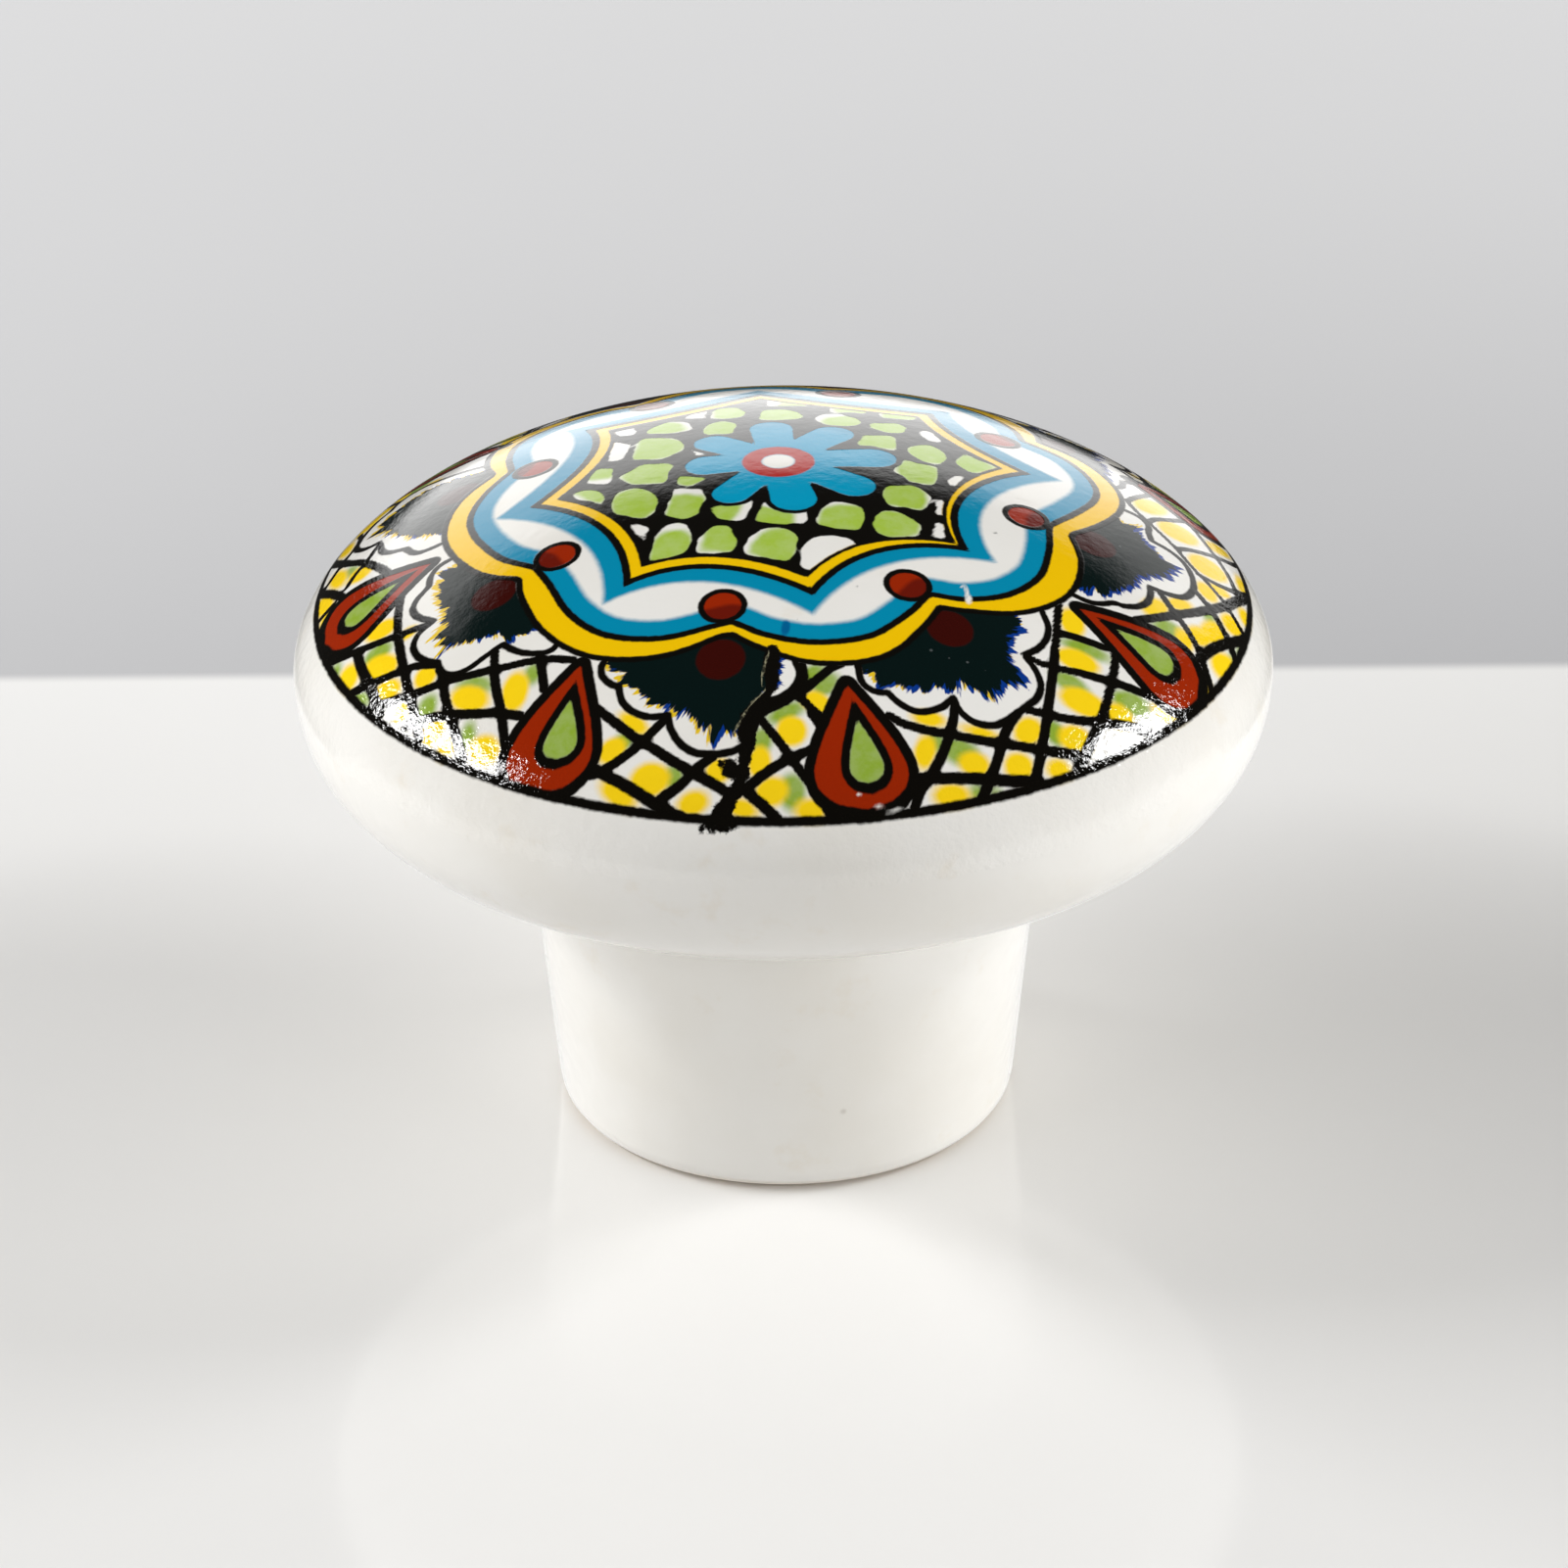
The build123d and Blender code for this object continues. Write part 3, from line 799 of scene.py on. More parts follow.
def fan_shapes(spots):
    """Fans with their red roots, repeated on the far side."""
    names = ("fan", "body_blue", "body_yellow", "roots", "fringe")
    found = {name: np.full(len(spots), FAR) for name in names}
    nearest_root = np.full(len(spots), FAR)
    for sign in (1, -1):
        for (x, y, size), petals, edge in FANS:
            if sign < 0 and not hidden_side([(-x, -y)]):
                continue
            root = (x * sign, y * sign)
            ends = [petal[:1] for petal in petals[1:]] + [[]]
            rim = np.vstack([spline(petal + end) for petal, end in zip(petals, ends)]) * sign
            torn = closed_inside(np.array(edge) * sign)
            shapes = {
                "fan": to_shape(spots, closed_inside(rim)),
                "body_blue": to_shape(spots, torn),
                "body_yellow": to_shape(spots + MISPRINT, torn),
                "roots": to_dot(spots, *root, size),
            }
            for name, shape in shapes.items():
                found[name] = np.minimum(found[name], shape)

            # Bearing round the root, measured from the knob's axis: the torn edge frays along it
            away = spots - root
            bearing = np.arctan2(away[:, 1], away[:, 0]) - math.atan2(root[1], root[0])
            bearing = (bearing + np.pi) % (2 * np.pi) - np.pi
            from_root = np.hypot(away[:, 0], away[:, 1])
            found["fringe"] = np.where(from_root < nearest_root, bearing, found["fringe"])
            nearest_root = np.minimum(nearest_root, from_root)
    return found


def teardrop_shapes(spots):
    drops = list(TEARDROPS)
    for tip, base, width, *heart in TEARDROPS[:TEARDROPS_REPEATED]:
        drops.append((*turned([tip, base]), width, *turned(heart)))
    return {
        "drop": nearest([to_shape(spots, teardrop(*drop[:3])) for drop in drops]),
        "heart": nearest([to_shape(spots, teardrop(*drop[3:], HEART_WIDTH)) for drop in drops]),
    }


def lattice_shapes(spots):
    """Strokes, as squared distances so that thin lines stay even, and dabs, repeated on the far side."""
    strokes = []
    for paths, width in ((STROKES, STROKE_LINE), (THIN_STROKES, THIN_STROKE_LINE)):
        scale = STROKE_LINE / width
        for path in paths + [turned(path) for path in paths if hidden_side(turned(path))]:
            gap = to_path(spots, spline(path, 4))
            strokes.append((gap ** 2 - STROKE_GAIN) * scale ** 2)
    found = {"strokes": nearest(strokes)}
    for name, ovals in (("yellow_dabs", YELLOW_DABS), ("green_dabs", GREEN_DABS)):
        copies = [(-x, -y, *rest) for x, y, *rest in ovals if hidden_side([(-x, -y)])]
        found[name] = nearest([to_oval(spots, oval) for oval in ovals + copies])
    return found


def torn_shapes(spots):
    """The torn seam, its pale edge as a squared distance, places without ink, the drip and the specks."""
    seam = [to_taper(spots, start, end) for start, end in zip(SEAM, SEAM[1:])]
    return {
        "seam": nearest(seam + [to_dot(spots, *crumb) for crumb in CRUMBS]),
        "seam_edge": to_path(spots, spline(SEAM_EDGE)) ** 2,
        "miss": nearest([to_oval(spots, oval) for oval in MISSES]),
        "drip": to_oval(spots, DRIP),
        "speck": nearest([to_dot(spots, *speck) for speck in SPECKS]),
    }


def draw_print(spots):
    """Distances in millimetres from each spot in plan to the print's shapes, negative inside a shape."""
    return {
        **star_shapes(spots), **scallop_shapes(spots), **flower_shapes(spots), **fan_shapes(spots),
        **teardrop_shapes(spots), **lattice_shapes(spots), **torn_shapes(spots),
    }


# Materials

GLAZE_IOR = 1.5
CRISP = 0.06  # half width in millimetres of the soft border of most inks
FLOWER_REACH = (3.5, 5.0)  # between these radii the flower's inks give way to the ribbon's

# Where the mesh keeps the distances
INK_ATTRIBUTES = {
    "print_a": ("star", "field", "halo"),
    "print_b": ("inner", "outer", "petals"),
    "print_c": ("cells", "green", "dots"),
    "print_d": ("fan", "body_blue", "body_yellow"),
    "print_e": ("roots", "drop", "heart"),
    "print_f": ("strokes", "yellow_dabs", "green_dabs"),
    "print_g": ("seam", "seam_edge", "miss"),
    "print_h": ("fringe", "drip", "speck"),
}


def specks(graph, spot, scale, rarity, largest, soft):
    """Round specks of many sizes, in the cells whose random value is past the rarity."""
    cell = graph.node("ShaderNodeTexVoronoi", {"feature": "F1"}, {"Vector": spot, "Scale": scale})
    chance = graph.node("ShaderNodeSeparateColor", None, {"Color": cell.output("Color")})
    size = graph.step(chance.output("Red"), rarity, 1.0, 0.0, largest)
    return graph.step(size - cell.output("Distance"), 0.0, soft)


def glaze_parts(graph, spot, glaze):
    """Colour, roughness and relief of the plain white glaze."""
    cloud = graph.noise(spot, 0.14, 3.0)
    tone = graph.blend(graph.step(cloud, 0.35, 0.7), glaze, srgb(229, 226, 219))
    marks = specks(graph, spot, 0.42, 0.72, 0.088, 0.07)
    tone = graph.blend(marks * 0.3, tone, srgb(150, 136, 120))
    stain = graph.step(graph.noise(spot, 0.33, 4.0, 0.65), 0.58, 0.75, 0.0, 0.35)
    tone = graph.blend(stain, tone, srgb(222, 212, 194))
    height = graph.split(spot)[2]
    # Darker, warmer band along the bottom of the glaze, fading out within about 0.75 millimetres of the floor
    low_warm_band = graph.step(height + cloud * 0.5, 0.25, 0.75, 0.7, 0.0)
    tone = graph.blend(low_warm_band, tone, srgb(196, 166, 120))
    peel = graph.noise(spot, 0.55, 2.0)
    rough = graph.step(graph.noise(spot, 0.8, 3.0), 0.3, 0.75, 0.03, 0.07)
    return tone, rough, peel


def relief(graph, height, strength, depth):
    """Bump of a height, whose depth is in millimetres."""
    return graph.node("ShaderNodeBump", None, {
        "Strength": strength, "Distance": depth * MM, "Height": height})


def glaze_material(colours):
    material, graph = new_material("white_glaze")
    spot = object_millimetres(graph)
    tone, rough, peel = glaze_parts(graph, spot, colours.glaze)
    bump = relief(graph, peel, 0.12, 0.3)
    finish_material(graph, {"Base Color": tone, "Roughness": rough, "Normal": bump, "IOR": GLAZE_IOR})
    return material


def ink_shapes(graph, spot, radius):
    """Distance to what each ink covers. A band lies between two distances, a union takes the lowest.

    Small amounts say how far a colour runs under the line beside it, or keeps away from it.
    """
    to = {}
    for attribute, names in INK_ATTRIBUTES.items():
        vector = graph.node("ShaderNodeAttribute", {"attribute_name": attribute}, None, "Vector")
        to.update(zip(names, graph.split(vector)))
    x, y = graph.split(spot)[:2]
    from_flower = graph.node("ShaderNodeVectorMath", {"operation": "DISTANCE"}, {
        0: graph.combine(x, y, 0.0), 1: (*FLOWER_MIDDLE, 0.0)}, "Value")
    past_edge = radius - PRINT_EDGE
    strokes = graph.maths("SQRT", to["strokes"]) - STROKE_LINE / 2

    # Places that are kept free: outside the scallops, and for the lattice also outside the fans and teardrops
    in_middle = 0.06 - to["outer"]
    free = graph.high(0.2 - to["outer"], -0.1 - to["fan"], 0.2 - to["drop"], past_edge)

    # Uneven edges
    uneven = graph.noise(spot, 0.95, 1.0, 0.5) - 0.5
    cells = graph.high(to["cells"] + uneven * 0.45, 0.25 - to["petals"], to["field"] + 0.18)
    along_fan = graph.combine(to["fringe"] * 4.0, to["roots"] * 0.25, 0.0)
    fray_blue = (graph.noise(along_fan, 2.3, 2.0, 0.7) - 0.5) * FRAY
    fray_yellow = (graph.noise(along_fan, 2.7, 2.0, 0.7) - 0.5) * FRAY
    seam = to["seam"] + (graph.noise(spot, 2.6, 3.0, 0.7) - 0.5) * 0.4

    black = graph.low(
        graph.high(to["field"], -cells, -to["petals"]),
        graph.band(to["star"], -STAR_LINE, 0.0),
        graph.band(to["inner"], -RIBBON_LINE, 0.0),
        graph.band(to["outer"], 0.0, SCALLOP_LINE),
        graph.high(graph.band(to["fan"], -FAN_LINE / 2, FAN_LINE / 2), 0.1 - to["outer"]),
        graph.band(to["drop"], 0.0, DROP_LINE),
        graph.band(to["heart"], -HEART_LINE, 0.0),
        graph.high(strokes, free),
        graph.band(past_edge, -EDGE_LINE / 2, EDGE_LINE / 2))
    black = graph.high(black, DOT_RADIUS - to["dots"], past_edge - 0.14)
    to["black"] = graph.low(
        black,
        graph.band(to["dots"], DOT_RADIUS, DOT_RADIUS + DOT_LINE),
        graph.high(seam, past_edge - 0.33))
    to["leaf"] = graph.low(
        graph.high(to["green"] - uneven * 0.35, to["field"]),
        graph.high(to["green_dabs"], free),
        to["heart"] + 0.22)
    to["sun"] = graph.high(to["yellow_dabs"], free)
    to["gold"] = graph.low(
        graph.high(to["star"] + 0.2, -0.12 - to["field"]),
        graph.high(to["outer"] - 0.1, -0.1 - to["inner"]))
    to["sky"] = graph.low(
        graph.high(to["halo"], -0.16 - to["star"]),
        graph.band(to["inner"], -RIBBON_BLUE, -0.15),
        graph.high(to["petals"] - 0.17, RING_INNER - from_flower))
    to["rust"] = graph.low(
        graph.band(from_flower, RING_INNER, RING_OUTER),
        to["dots"] - DOT_RADIUS - 0.08,
        graph.high(to["roots"], in_middle),
        graph.high(to["drop"] - 0.12, -0.2 - to["heart"], past_edge))
    to["fan_yellow"] = graph.high(to["body_yellow"] + fray_yellow, to["fan"] + 0.05, in_middle)
    to["fan_blue"] = graph.high(to["body_blue"] + fray_blue, to["fan"] + 0.05, in_middle)
    return to


def print_material(settings, inks):
    material, graph = new_material("printed_glaze")
    spot = object_millimetres(graph)
    radius = axis_distance(graph, spot)
    tone, rough, peel = glaze_parts(graph, spot, inks.glaze)
    to = ink_shapes(graph, spot, radius)
    wander = (graph.noise(spot, 3.2, 2.0, 0.6) - 0.5) * (settings.ragged * 2)
    took_ink = graph.step(to["miss"] + wander, -CRISP, CRISP)

    def covers(distance, soft=CRISP):
        return graph.step(distance + wander, soft, -soft) * took_ink

    # Inks over the glaze, in the order of printing
    past_flower = graph.step(radius, *FLOWER_REACH)
    depth = graph.step(graph.noise(spot, 1.1, 4.0, 0.65), 0.3, 0.72, 1.0, 1.0 - settings.mottle)
    green = graph.blend(graph.step(to["field"], -0.1, 0.1), inks.cell_leaf, inks.leaf)
    tone = graph.blend(covers(to["leaf"], 0.19) * depth, tone, green)
    tone = graph.blend(covers(to["sun"] - 0.05, 0.15), tone, inks.sun)
    tone = graph.blend(covers(to["gold"] - 0.05, 0.08), tone, inks.gold)
    in_sky = covers(to["sky"], 0.15)
    tone = graph.blend(in_sky, tone, graph.blend(past_flower, inks.petal, inks.sky))
    tone = graph.blend(in_sky * covers(to["drip"]), tone, inks.drip)
    tone = graph.blend(covers(to["speck"]) * 0.6, tone, inks.night)
    in_yellow = covers(to["fan_yellow"])
    tone = graph.blend(in_yellow, tone, inks.fan_yellow)
    in_blue = covers(to["fan_blue"])
    tone = graph.blend(in_blue, tone, inks.fan_blue)
    in_both = in_yellow * in_blue
    dust = specks(graph, spot, 1.4, 0.7, 0.13, 0.05)
    tone = graph.blend(in_both, tone, graph.blend(dust * 0.2, inks.night, inks.dust))
    red = graph.blend(past_flower, inks.ring, graph.blend(in_sky, inks.rust, inks.rust_dark))
    red = graph.blend(in_both, red, inks.maroon)
    tone = graph.blend(covers(to["rust"]), tone, red)
    in_black = covers(to["black"], 0.045)
    tone = graph.blend(in_black, tone, inks.black)
    broken = graph.step(graph.noise(spot, 2.2, 3.0, 0.7), 0.4, 0.56, 0.1, 0.8)
    in_edge = covers(graph.maths("SQRT", to["seam_edge"]) - 0.045, 0.035) * broken
    tone = graph.blend(in_edge, tone, inks.seam_edge)

    # Relief of the glaze, of wrinkles that grow towards the print's edge and of the inks
    wrinkles = graph.noise(spot, 2.4, 3.0, 0.6) * graph.step(radius, 15.5, 18.0, 0.3, 1.1)
    height = peel * 0.5 + wrinkles + in_black * 0.12 + in_both * 0.1
    bump = relief(graph, height, settings.relief, 0.06)
    finish_material(graph, {"Base Color": tone, "Roughness": rough, "Normal": bump, "IOR": GLAZE_IOR})
    return material


def bare_material(colours):
    material, graph = new_material("bare_foot")
    spot = object_millimetres(graph)
    grain = graph.noise(spot, 5.0, 4.0, 0.7)
    cloud = graph.noise(spot, 0.4, 3.0)
    tone = graph.blend(graph.step(cloud, 0.3, 0.7), colours.foot, srgb(208, 197, 179))
    tone = graph.blend(graph.step(grain, 0.6, 0.75, 0.0, 0.35), tone, srgb(176, 160, 138))
    bump = relief(graph, grain, 0.4, 0.05)
    finish_material(graph, {"Base Color": tone, "Roughness": 0.85, "Normal": bump})
    return material


def brass_material(colours):
    material, graph = new_material("turned_brass")
    spot = object_millimetres(graph)
    height = graph.split(spot)[2]
    rings = graph.noise(graph.combine(axis_distance(graph, spot) * 9.0, height * 9.0, 0.0), 1.0, 3.0, 0.7)
    stain = graph.noise(spot, 0.7, 4.0, 0.6)
    tone = graph.blend(graph.step(stain, 0.35, 0.7), colours.brass, srgb(158, 122, 66))
    rough = graph.step(rings, 0.3, 0.7, 0.24, 0.42)
    bump = relief(graph, rings, 0.25, 0.03)
    finish_material(graph, {"Base Color": tone, "Roughness": rough, "Metallic": 1.0, "Normal": bump})
    return material


# Shapes

SWEEP_RADIUS = 0.001  # of the circle that sections are swept along
WELD_GAP = 2e-6  # points nearer to each other than this become one
FACE_TOLERANCE = 1e-5
SHARP_ANGLE = 38  # degrees between two faces, past which their edge shows
CROWN_STEPS = 200
UNDERSIDE_STEPS = 14
CORNER_STEPS = 4
NECK_ROUNDING = 0.6  # how far a soft corner's handles reach towards the sharp one
FOOT_ROUNDING = 0.667


def new_tree(name, values):
    """A Geometry Nodes group with one named input for each value, and the fields of those inputs."""
    tree = bpy.data.node_groups.new(name, "GeometryNodeTree")
    tree.interface.new_socket("Geometry", in_out="OUTPUT", socket_type="NodeSocketGeometry")
    for label, value in values.items():
        kind = {int: "Int", float: "Float"}.get(type(value), "Material")
        tree.interface.new_socket(label, in_out="INPUT", socket_type="NodeSocket" + kind)
    graph = Graph(tree)
    source = graph.node("NodeGroupInput")
    return tree, graph, {label: source.output(label) for label in values}


def grow(name, tree, values):
    """The plain mesh that a Geometry Nodes group makes from its inputs."""
    holder = bpy.data.objects.new(name + "_holder", bpy.data.meshes.new(name + "_seed"))
    bpy.context.scene.collection.objects.link(holder)
    modifier = holder.modifiers.new("shape", "NODES")
    modifier.node_group = tree
    for item in tree.interface.items_tree:
        if item.in_out == "INPUT":
            modifier[item.identifier] = values[item.name]
    holder.update_tag()
    bpy.context.view_layer.update()
    mesh = bpy.data.meshes.new_from_object(holder.evaluated_get(bpy.context.evaluated_depsgraph_get()))
    mesh.name = name
    seed = holder.data
    bpy.data.objects.remove(holder)
    bpy.data.meshes.remove(seed)
    shape = bmesh.new()
    shape.from_mesh(mesh)
    bmesh.ops.recalc_face_normals(shape, faces=shape.faces)
    open_edges = sum(1 for edge in shape.edges if not edge.is_manifold)
    shape.to_mesh(mesh)
    shape.free()
    if not mesh.polygons or open_edges:
        raise RuntimeError(f"{name} has {len(mesh.polygons)} faces and {open_edges} open edges")
    mesh.set_sharp_from_angle(angle=math.radians(SHARP_ANGLE))
    piece = bpy.data.objects.new(name, mesh)
    bpy.context.scene.collection.objects.link(piece)
    return piece


def section_spot(graph, radius, height):
    """A point of a section, where the sweep expects it."""
    return graph.combine(radius - SWEEP_RADIUS, height * -1.0, 0.0)


def curve(graph, start, start_handle, end_handle, end, steps):
    return graph.node("GeometryNodeCurvePrimitiveBezierSegment", {"mode": "POSITION"}, {
        "Resolution": steps, "Start": start, "Start Handle": start_handle,
        "End Handle": end_handle, "End": end})


def straight(graph, start, end):
    return graph.node("GeometryNodeCurvePrimitiveLine", {"mode": "POINTS"}, {"Start": start, "End": end})


def swept(graph, sections, around):
    circle = graph.node("GeometryNodeCurvePrimitiveCircle", {"mode": "RADIUS"}, {
        "Resolution": around, "Radius": SWEEP_RADIUS})
    section = graph.node("GeometryNodeJoinGeometry", None, {"Geometry": sections})
    return graph.node("GeometryNodeCurveToMesh", None, {"Curve": circle, "Profile Curve": section})


def toward(graph, start, end, share):
    """The point that lies a share of the way from start to end."""
    run = graph.node("ShaderNodeVectorMath", {"operation": "SUBTRACT"}, {0: end, 1: start})
    run = graph.node("ShaderNodeVectorMath", {"operation": "SCALE"}, {"Vector": run, "Scale": share})
    return graph.node("ShaderNodeVectorMath", {"operation": "ADD"}, {0: start, 1: run})


def rounded(graph, start, corner, end, share):
    """A curve from start to end round a corner, with its handles a share of the way to the corner."""
    handles = [toward(graph, place, corner, share) for place in (start, end)]
    return curve(graph, start, *handles, end, CORNER_STEPS)


def straights(graph, corners):
    return [straight(graph, first, second) for first, second in zip(corners, corners[1:])]


def wrapped(graph, radius, angle, height):
    """A place at a radius and an angle round the axis."""
    return graph.combine(radius * graph.maths("COSINE", angle), radius * graph.maths("SINE", angle), height)


def welded(graph, shells):
    """Shells joined into one smooth solid."""
    joined = graph.node("GeometryNodeJoinGeometry", None, {"Geometry": shells})
    merged = graph.node("GeometryNodeMergeByDistance", None, {"Geometry": joined, "Distance": WELD_GAP})
    smooth = graph.node("GeometryNodeSetShadeSmooth", None, {"Geometry": merged})
    return graph.node("GeometryNodeRealizeInstances", None, {"Geometry": smooth})


def dressed(graph, solid, material, place=True):
    return graph.node("GeometryNodeSetMaterial", None, {
        "Geometry": solid, "Selection": place, "Material": material})


def crown_shell(graph, meridian, cells):
    """A square grid wrapped, without a pole, onto the dome that the meridian makes."""
    grid = graph.node("GeometryNodeMeshGrid", None, {
        "Size X": 2.0, "Size Y": 2.0, "Vertices X": cells + 1.0, "Vertices Y": cells + 1.0})
    a, b = graph.split(graph.node("GeometryNodeInputPosition"))[:2]
    wide = graph.maths("GREATER_THAN", abs(a), abs(b))
    reach = b + (a - b) * wide
    bearing_tall = math.pi / 2 - a / b * (math.pi / 4)
    bearing = bearing_tall + (b / a * (math.pi / 4) - bearing_tall) * wide
    sample = graph.node("GeometryNodeSampleCurve", {"mode": "FACTOR", "data_type": "FLOAT"}, {
        "Curves": meridian, "Factor": abs(reach)}, "Position")
    from_axis, down = graph.split(sample)[:2]
    radius = (from_axis + SWEEP_RADIUS) * graph.maths("SIGN", reach)
    place = wrapped(graph, radius, bearing, down * -1.0)
    return graph.node("GeometryNodeSetPosition", None, {"Geometry": grid, "Position": place})


def body_tree(values):
    tree, graph, size = new_tree("turned_body", values)

    def at(radius, height):
        return section_spot(graph, radius, height)

    # Crown
    head_radius, top = size["Head Radius"], size["Overall Height"]
    rim_height = top - size["Crown Height"]
    zero = head_radius * 0.0
    rim = at(head_radius, rim_height)
    apex_handle = at(size["Crown Reach"], top)
    rim_handle = at(head_radius, rim_height + size["Rim Upper Reach"])
    meridian = curve(graph, at(zero, top), apex_handle, rim_handle, rim, CROWN_STEPS)
    cells = size["Crown Cells"]
    crown = crown_shell(graph, meridian, cells)

    # Underside, softened neck, stem and the foot's soft edge
    neck_radius, neck_height, soft = size["Neck Radius"], size["Neck Height"], size["Neck Softness"]
    rise = graph.maths("SINE", size["Underside Slope"])
    run = graph.maths("COSINE", size["Underside Slope"])
    neck = at(neck_radius, neck_height)
    neck_handle, neck_out = [
        at(neck_radius + run * away, neck_height + rise * away) for away in (size["Underside Reach"], soft)]
    lower_handle = at(head_radius, rim_height - size["Rim Lower Reach"])
    foot = at(size["Foot Radius"], zero)
    foot_edge = at(size["Foot Radius"] - size["Foot Softness"], zero)
    neck_in = toward(graph, neck, foot, soft / neck_height)
    stem_end = toward(graph, foot, neck, size["Foot Softness"] / neck_height)
    glazed = [
        curve(graph, rim, lower_handle, neck_handle, neck_out, UNDERSIDE_STEPS),
        rounded(graph, neck_out, neck, neck_in, NECK_ROUNDING),
        straight(graph, neck_in, stem_end),
        rounded(graph, stem_end, foot, foot_edge, FOOT_ROUNDING),
    ]

    # Foot face and socket
    socket, mouth = size["Socket Radius"], size["Socket Radius"] + size["Socket Lead In"]
    bare = straights(graph, [
        foot_edge,
        at(mouth, zero),
        at(socket, size["Socket Lead In"]),
        at(socket, size["Socket Depth"]),
        at(size["Overrun Radius"], size["Socket Depth"]),
        at(size["Overrun Radius"], size["Overrun Depth"]),
        at(zero, size["Overrun Depth"]),
    ])
    solid = welded(graph, [crown, swept(graph, glazed + bare, cells * 4.0)])

    # Materials by place
    place = graph.node("GeometryNodeInputPosition")
    height = graph.split(place)[2]
    on_crown = graph.maths("GREATER_THAN", height, rim_height)
    in_socket = graph.maths("LESS_THAN", axis_distance(graph, place), mouth)
    below_end = graph.maths("LESS_THAN", height, size["Overrun Depth"] + FACE_TOLERANCE)
    on_foot = graph.maths("LESS_THAN", height, FACE_TOLERANCE)
    made = dressed(graph, solid, size["Glaze"])
    made = dressed(graph, made, size["Print"], on_crown)
    made = dressed(graph, made, size["Bare"], graph.high(in_socket * below_end, on_foot))
    graph.node("NodeGroupOutput", None, {"Geometry": made})
    return tree


def thread_shell(graph, size, start):
    """A grid rolled into the bore, with a helical groove that fades at both ends."""
    top, pitch = size["Top"], size["Thread Pitch"]
    grid = graph.node("GeometryNodeMeshGrid", None, {
        "Size X": 1.0, "Size Y": 1.0, "Vertices X": size["Segments"] + 1.0, "Vertices Y": size["Rows"]})
    u, v = graph.split(graph.node("GeometryNodeInputPosition"))[:2]
    height = start + (v + 0.5) * (top - start)
    angle = (u + 0.5) * (2 * math.pi)
    turn = height / pitch - (u + 0.5)
    groove = graph.step(abs(graph.maths("FRACT", turn) - 0.5) * 2.0, 0.1, 0.9)
    fade = graph.step(height - start, 0.0, pitch) * graph.step(top - height, 0.0, pitch)
    radius = size["Thread Inner Radius"] + size["Thread Depth"] * groove * fade
    place = wrapped(graph, radius, angle, height)
    return graph.node("GeometryNodeSetPosition", None, {"Geometry": grid, "Position": place})


def insert_tree(values, grooves):
    tree, graph, size = new_tree("tapped_sleeve", values)

    def at(radius, height):
        return section_spot(graph, radius, height)

    outer, inner = size["Outer Radius"], size["Thread Inner Radius"]
    bottom, top = size["Bottom"], size["Top"]
    chamfer, lead = size["End Chamfer"], size["Lead In"]
    groove_floor = outer - size["Groove Depth"]
    start = bottom + lead
    corners = [
        at(inner, start), at(inner + lead, bottom), at(outer - chamfer, bottom), at(outer, bottom + chamfer)]
    for index in range(grooves):
        middle = (bottom + top) / 2.0 + size["Groove Pitch"] * (index - (grooves - 1) / 2)
        low, high = middle - size["Groove Width"] / 2.0, middle + size["Groove Width"] / 2.0
        corners += [at(outer, low), at(groove_floor, low), at(groove_floor, high), at(outer, high)]
    corners += [at(outer, top - chamfer), at(outer - chamfer, top), at(inner, top)]
    sleeve = swept(graph, straights(graph, corners), size["Segments"])
    solid = welded(graph, [sleeve, thread_shell(graph, size, start)])
    graph.node("NodeGroupOutput", None, {"Geometry": dressed(graph, solid, size["Brass"])})
    return tree


def store_print(mesh):
    """Stores the print's distances on the mesh, three to an attribute, in millimetres."""
    places = np.empty(len(mesh.vertices) * 3, np.float32)
    mesh.vertices.foreach_get("co", places)
    places = places.reshape(-1, 3).astype(float) / MM
    crown = places[:, 2] > PRINT_LOW
    distances = draw_print(places[crown, :2])
    for attribute, names in INK_ATTRIBUTES.items():
        values = np.full((len(places), 3), FAR, np.float32)
        for column, name in enumerate(names):
            values[crown, column] = np.clip(distances[name], -FAR, FAR)
        layer = mesh.attributes.new(attribute, "FLOAT_VECTOR", "POINT")
        layer.data.foreach_set("vector", values.ravel())


def claim(piece, node):
    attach(piece, "root")
    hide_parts(node)


# Operators

class KNOB_OT_body(bpy.types.Operator):
    """Builds the glazed body with its print"""
    bl_idname = "knob.make_body"
    bl_label = "Make Glazed Body"

    def execute(self, context):
        colours = context.scene.knob_colours
        low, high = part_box("knob_body")
        values = {
            "Head Radius": (high.x - low.x) / 2,
            "Overall Height": high.z - low.z,
            **setting_values(context.scene.knob_shape),
            "Print": print_material(context.scene.knob_print, colours),
            "Glaze": glaze_material(colours),
            "Bare": bare_material(colours),
        }
        piece = grow("glazed_body", body_tree(values), values)
        store_print(piece.data)
        claim(piece, "knob_body")
        return {"FINISHED"}


class KNOB_OT_insert(bpy.types.Operator):
    """Builds the tapped brass insert"""
    bl_idname = "knob.make_insert"
    bl_label = "Make Brass Insert"

    def execute(self, context):
        low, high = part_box("threaded_insert")
        values = {
            "Outer Radius": (high.x - low.x) / 2,
            "Bottom": low.z,
            "Top": high.z,
            **setting_values(context.scene.knob_insert),
            "Brass": brass_material(context.scene.knob_colours),
        }
        grooves = values.pop("Grooves")
        piece = grow("brass_insert", insert_tree(values, grooves), values)
        claim(piece, "threaded_insert")
        return {"FINISHED"}


# Stage

